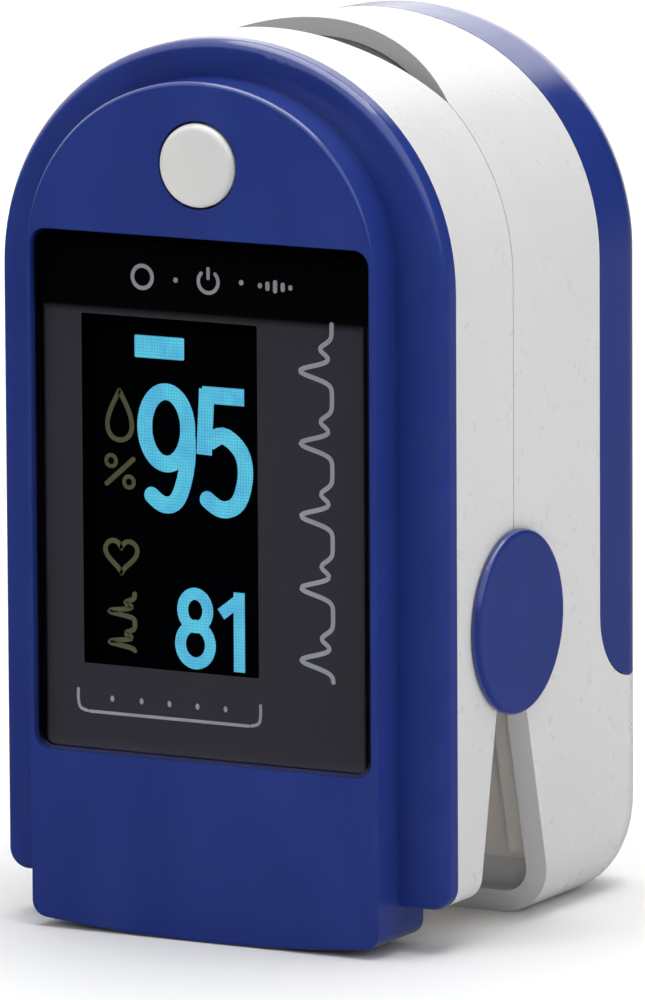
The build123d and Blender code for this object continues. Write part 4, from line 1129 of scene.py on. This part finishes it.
class OXIMETER_OT_readings(Operator):
    """Adds the lit readings, signal bar and unit symbols on the display panel"""

    bl_idname = "oximeter.readings"
    bl_label = "Lit readings"

    def execute(self, context):
        s = context.scene.oximeter_window
        finish_nodes(panel_glass("Panel Glass"), "display_panel")
        black = plastic("Frame Black", (0.012, 0.012, 0.013), (0.02, 0.02, 0.022), roughness=0.55)
        finish_nodes(black, "display_frame")
        finish_nodes(flat_cable("Display Flex"), "display_flex")
        lit = lit_pixels("Lit Pixels", s)
        marks = printed_ink("Unit Print", s.mark, scaled(s.mark, 0.7))
        add_piece("display_readings", reading_shapes(s), lit, DISPLAY)
        add_piece("display_units", unit_shapes(), marks, DISPLAY)
        return {"FINISHED"}


class OXIMETER_OT_finger_channel(Operator):
    """Gives the frames, liners, light source and sensor in the finger channel their finishes"""

    bl_idname = "oximeter.finger_channel"
    bl_label = "Finger channel"

    def execute(self, context):
        s = context.scene.oximeter_finish
        grey = plastic("Inner Grey", s.inner_grey, scaled(s.inner_grey, 0.92), roughness=0.42,
                       spread=0.08, peel=3.0, bump=0.2, marks=0.5)
        skin = silicone("Liner Silicone", s.silicone, scaled(s.silicone, 1.5))
        finish_nodes(grey, "upper_frame", "lower_frame")
        for node, body, side, depth, hole, drop, lip in LINERS:
            shape = liner_shape(node, side, depth * MM, np.array(hole) * MM, drop * MM, lip * MM)
            liner = add_piece(node + "_skin", shape, skin, body, sharp=40)
            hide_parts(node)
        finish_nodes(clear_resin("Emitter Resin"), "light_emitter")
        black = plastic("Sensor Black", (0.02, 0.018, 0.02), (0.03, 0.026, 0.03), roughness=0.25)
        finish_nodes(black, "photodiode")
        return {"FINISHED"}


class OXIMETER_OT_electronics(Operator):
    """Gives the boards, chips, sockets and small parts their finishes"""

    bl_idname = "oximeter.electronics"
    bl_label = "Boards and chips"

    def execute(self, context):
        green = circuit("Board Green", (0.012, 0.09, 0.035), (0.03, 0.17, 0.06), scale=0.55)
        chip = plastic("Chip Black", (0.016, 0.016, 0.017), (0.024, 0.024, 0.025), roughness=0.5,
                       spread=0.08, peel=8.0, bump=0.3)
        can = metal("Crystal Can", (0.66, 0.65, 0.62), (0.5, 0.49, 0.46), roughness=0.22)
        ceramic = plastic("Ceramic", (0.36, 0.24, 0.14), (0.44, 0.31, 0.2), roughness=0.5, spread=0.1,
                          peel=6.0, bump=0.2)
        cream = plastic("Socket Cream", (0.62, 0.57, 0.45), (0.55, 0.5, 0.39), roughness=0.45,
                        spread=0.06, peel=3.0, bump=0.1)
        finish_nodes(green, "main_board", "emitter_board", "sensor_board")
        finish_nodes(chip, "processor_chip", "amplifier_chip", "boost_coil")
        finish_nodes(can, "crystal")
        finish_nodes(ceramic, "board_parts")
        finish_nodes(cream, "board_socket", "sensor_socket")
        return {"FINISHED"}


class OXIMETER_OT_hinge(Operator):
    """Adds the hinge spring and ribbon, and finishes pin and screws"""

    bl_idname = "oximeter.hinge"
    bl_label = "Hinge spring and ribbon"

    def execute(self, context):
        s = context.scene.oximeter_finish
        steel = metal("Drawn Steel", s.steel, scaled(s.steel, 0.6), roughness=0.28)
        finish_nodes(steel, "hinge_pin", "front_screws", "back_screws")
        path, half = hinge_spring_path()
        wire = tube(path, COIL_WIRE, across=(1, 0, 0.02), sides=16)
        spring = add_piece("hinge_spring", wire, steel, sharp=50)
        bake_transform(spring)
        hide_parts("torsion_spring")
        film = flat_cable("Link Film")
        ribbon = add_piece("link_cable", ribbon_shape(), film, sharp=50)
        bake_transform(ribbon)
        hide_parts("link_ribbon")
        return {"FINISHED"}


class OXIMETER_OT_cells(Operator):
    """Adds both cells and their contact coils, and finishes the contact plates"""

    bl_idname = "oximeter.cells"
    bl_label = "Cells and contacts"

    def execute(self, context):
        skin = cell_skin("Cell Sleeve")
        add_cell("battery_left", True, skin)
        add_cell("battery_right", False, skin)
        nickel = metal("Nickel Plate", (0.68, 0.66, 0.61), (0.46, 0.44, 0.40), roughness=0.22, lines=4.0)
        finish_nodes(nickel, "contact_plates", "contact_bridge")
        for node, wide_low in (("cell_spring_left", True), ("cell_spring_right", False)):
            wire = tube(cell_spring_path(node, wide_low), CELL_WIRE, across=(0, 0, 1))
            coil = add_piece(node + "_coil", wire, nickel, BATTERY, sharp=50)
            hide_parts(node)
        return {"FINISHED"}


class OXIMETER_OT_marks(Operator):
    """Adds the moulded arrow on the battery cover"""

    bl_idname = "oximeter.marks"
    bl_label = "Moulded marks"

    def execute(self, context):
        low, high = span("battery_cover")
        tip = np.array([0.0, high[1] - GRIP_RISE, low[2] + ARROW_TIP])
        share = np.linspace(0, 1, 40)[:, None]
        feet = [tip + (side * ARROW_ARM, 0.0, -ARROW_ARM) for side in (-1, 1)]
        paths = [foot + share * (tip - foot) for foot in feet]
        arms = joined([tube(path, ARROW_WIRE, across=(0, 1, 0), sides=16) for path in paths])
        add_piece("cover_arrow", arms, bpy.data.materials["Blue Gloss"], COVER)
        return {"FINISHED"}


FLOOR_REACH, GLOW_REACH, GLOW = 4.0, (60.0, 800.0), 0.75  # metres, mm from the middle, strength
SKY_SEEN, SKY_LIGHT = 1.02, 0.30
MIRROR_EDGE, MIRROR_LIGHT = (0.02, 0.36), 1.4
DARK_SIDE, DARK_START, LOW_GLOW = 3.0, 0.10, 0.14

# name, place, aim, side length in metres, watts, whether reflections show it
LIGHTS = (
    ("side_box", (0.55, 0.05, 0.30), (0, 0, 0.03), 0.5, 0.8, False),
    ("top_box", (0.0, 0.05, 0.65), (0, 0, 0.03), 0.6, 4.3, True),
    ("front_box", (-0.30, -0.60, 0.40), (0, 0, 0.03), 0.35, 1.0, False),
)


class OXIMETER_OT_stage(Operator):
    """Sets the floor, the soft lights and the camera"""

    bl_idname = "oximeter.stage"
    bl_label = "Stage"

    def execute(self, context):
        s = context.scene.oximeter_stage
        context.scene.view_settings.view_transform = "Standard"
        set_floor(s)
        set_sky(context.scene)
        for light in LIGHTS:
            add_light(*light)
        context.scene.camera = add_camera(s)
        return {"FINISHED"}


def set_floor(settings):
    """A wide pale floor: a flat square about the origin, a little brighter away from the body."""
    across = np.linspace(-FLOOR_REACH, FLOOR_REACH, 5)
    points = np.zeros((5, 5, 3))
    points[..., 0], points[..., 1] = across, across[:, None]
    material, b, shader = new_material("Floor")
    mottle = b.remap(b.noise(b.millimetres(), 0.02, detail=3.0), 0.3, 0.7)
    away = b.add("ShaderNodeVectorMath", {0: b.millimetres()}, operation="LENGTH").outputs["Value"]
    b.wire(shader, Base_Color=b.mixed(mottle, settings.floor, scaled(settings.floor, 0.985)),
           Emission_Strength=b.remap(away, *GLOW_REACH, 0.0, GLOW), Emission_Color=(1, 1, 1),
           Roughness=0.7, Specular_IOR_Level=0.1)
    floor = add_piece("floor", (points, grid_faces(5, 5).tolist()), material)
    floor.visible_glossy = floor.visible_transmission = False


def set_sky(scene):
    """A pale surround: full white to look at and softer as a light. In reflections it is bright
    above and dark below, with its edge lower behind the object than in front of it. It is dark
    behind the object's right side too, and glows faintly low behind it, as a floor does."""
    sky = bpy.data.worlds.new("Surround")
    scene.world = sky
    sky.use_nodes = True
    sky.node_tree.nodes.clear()
    b = NodeBench(sky.node_tree)
    ray = b.add("ShaderNodeLightPath").outputs
    way = b.split(b.add("ShaderNodeTexCoord").outputs["Generated"])
    behind = b.maths("MAXIMUM", way["Y"], 0.0)
    above = b.maths("MULTIPLY_ADD", way["Y"], 0.25, way["Z"])
    shade = b.maths("MULTIPLY", behind, DARK_SIDE)
    shade = b.maths("MULTIPLY", b.maths("ADD", way["X"], DARK_START), shade)
    above = b.maths("SUBTRACT", above, b.maths("MAXIMUM", shade, 0.0))
    low_glow = b.maths("MULTIPLY", b.remap(way["Z"], 0.05, -0.15, 0.0, LOW_GLOW), behind)
    mirrored = b.maths("MAXIMUM", b.remap(above, *MIRROR_EDGE, 0.0, MIRROR_LIGHT), low_glow)
    seen = b.maths("MULTIPLY", ray["Is Camera Ray"], SKY_SEEN)
    bent = b.maths("MAXIMUM", ray["Is Glossy Ray"], ray["Is Transmission Ray"])
    spread = b.maths("MULTIPLY", ray["Is Diffuse Ray"], SKY_LIGHT)
    glow = b.maths("ADD", b.maths("MULTIPLY_ADD", bent, mirrored, seen), spread)
    surround = b.add("ShaderNodeBackground", {"Color": (1, 1, 1), "Strength": glow})
    b.add("ShaderNodeOutputWorld", {"Surface": surround.outputs[0]})


def add_light(name, place, aim, side, watts, mirrored):
    """A square soft box that faces its aim."""
    data = bpy.data.lights.new(name, "AREA")
    data.shape, data.size, data.energy = "SQUARE", side, watts
    light = bpy.data.objects.new(name, data)
    bpy.context.scene.collection.objects.link(light)
    light.location = place
    light.visible_glossy = light.visible_transmission = mirrored
    light.rotation_euler = (Vector(aim) - Vector(place)).to_track_quat("-Z", "Y").to_euler()


AIM_DEPTH = 4.2 * MM  # of the camera's aim point behind the window's face


def add_camera(settings):
    """The camera: it stands back from the aim point along the turn and height angles, moved a
    little to its own right and top, and tilted by its roll."""
    a, e, r = settings.azimuth, settings.elevation, settings.roll
    right = Vector((math.cos(a), math.sin(a), 0))
    back = Vector((math.sin(a) * math.cos(e), -math.cos(a) * math.cos(e), math.sin(e)))
    up = back.cross(right)
    tilted_right = right * math.cos(r) + up * math.sin(r)
    tilted_up = up * math.cos(r) - right * math.sin(r)
    place = Vector((0, LENS_LOW[1] + AIM_DEPTH, settings.aim_height)) + back * settings.distance
    place += tilted_right * settings.aim_right + tilted_up * settings.aim_up
    data = bpy.data.cameras.new("Camera")
    data.lens, data.sensor_width = settings.lens, 36.0
    data.clip_start, data.clip_end = 0.01, 10.0
    camera = bpy.data.objects.new("Camera", data)
    bpy.context.scene.collection.objects.link(camera)
    turn = Matrix((tilted_right, tilted_up, back)).transposed().to_4x4()
    camera.matrix_world = Matrix.Translation(place) @ turn
    return camera


class OXIMETER_PT_panel(Panel):
    """Lists the oximeter's steps and settings"""

    bl_label = "Oximeter"
    bl_idname = "OXIMETER_PT_panel"
    bl_space_type = "VIEW_3D"
    bl_region_type = "UI"
    bl_category = "Oximeter"

    def draw(self, context):
        scene = context.scene
        for group in (scene.oximeter_finish, scene.oximeter_window, scene.oximeter_stage):
            column = self.layout.column(align=True)
            for key in group.__annotations__:
                column.prop(group, key)
        for step in STEPS:
            self.layout.operator(step.bl_idname)


STEPS = (
    OXIMETER_OT_shells, OXIMETER_OT_button, OXIMETER_OT_window, OXIMETER_OT_readings,
    OXIMETER_OT_finger_channel, OXIMETER_OT_electronics, OXIMETER_OT_hinge, OXIMETER_OT_cells,
    OXIMETER_OT_marks, OXIMETER_OT_stage,
)
SETTINGS = (FinishSettings, WindowSettings, StageSettings)


def register():
    """Registers the classes and hangs their settings on the scene."""
    for cls in SETTINGS + STEPS + (OXIMETER_PT_panel,):
        bpy.utils.register_class(cls)
    bpy.types.Scene.oximeter_finish = PointerProperty(type=FinishSettings)
    bpy.types.Scene.oximeter_window = PointerProperty(type=WindowSettings)
    bpy.types.Scene.oximeter_stage = PointerProperty(type=StageSettings)


def unregister():
    """Takes the settings and the classes away again."""
    for name in ("oximeter_finish", "oximeter_window", "oximeter_stage"):
        delattr(bpy.types.Scene, name)
    for cls in reversed(SETTINGS + STEPS + (OXIMETER_PT_panel,)):
        bpy.utils.unregister_class(cls)


def main():
    """Runs every step in order."""
    register()
    for step in STEPS:
        group, name = step.bl_idname.split(".")
        getattr(getattr(bpy.ops, group), name)()


if __name__ == "__main__":
    main()
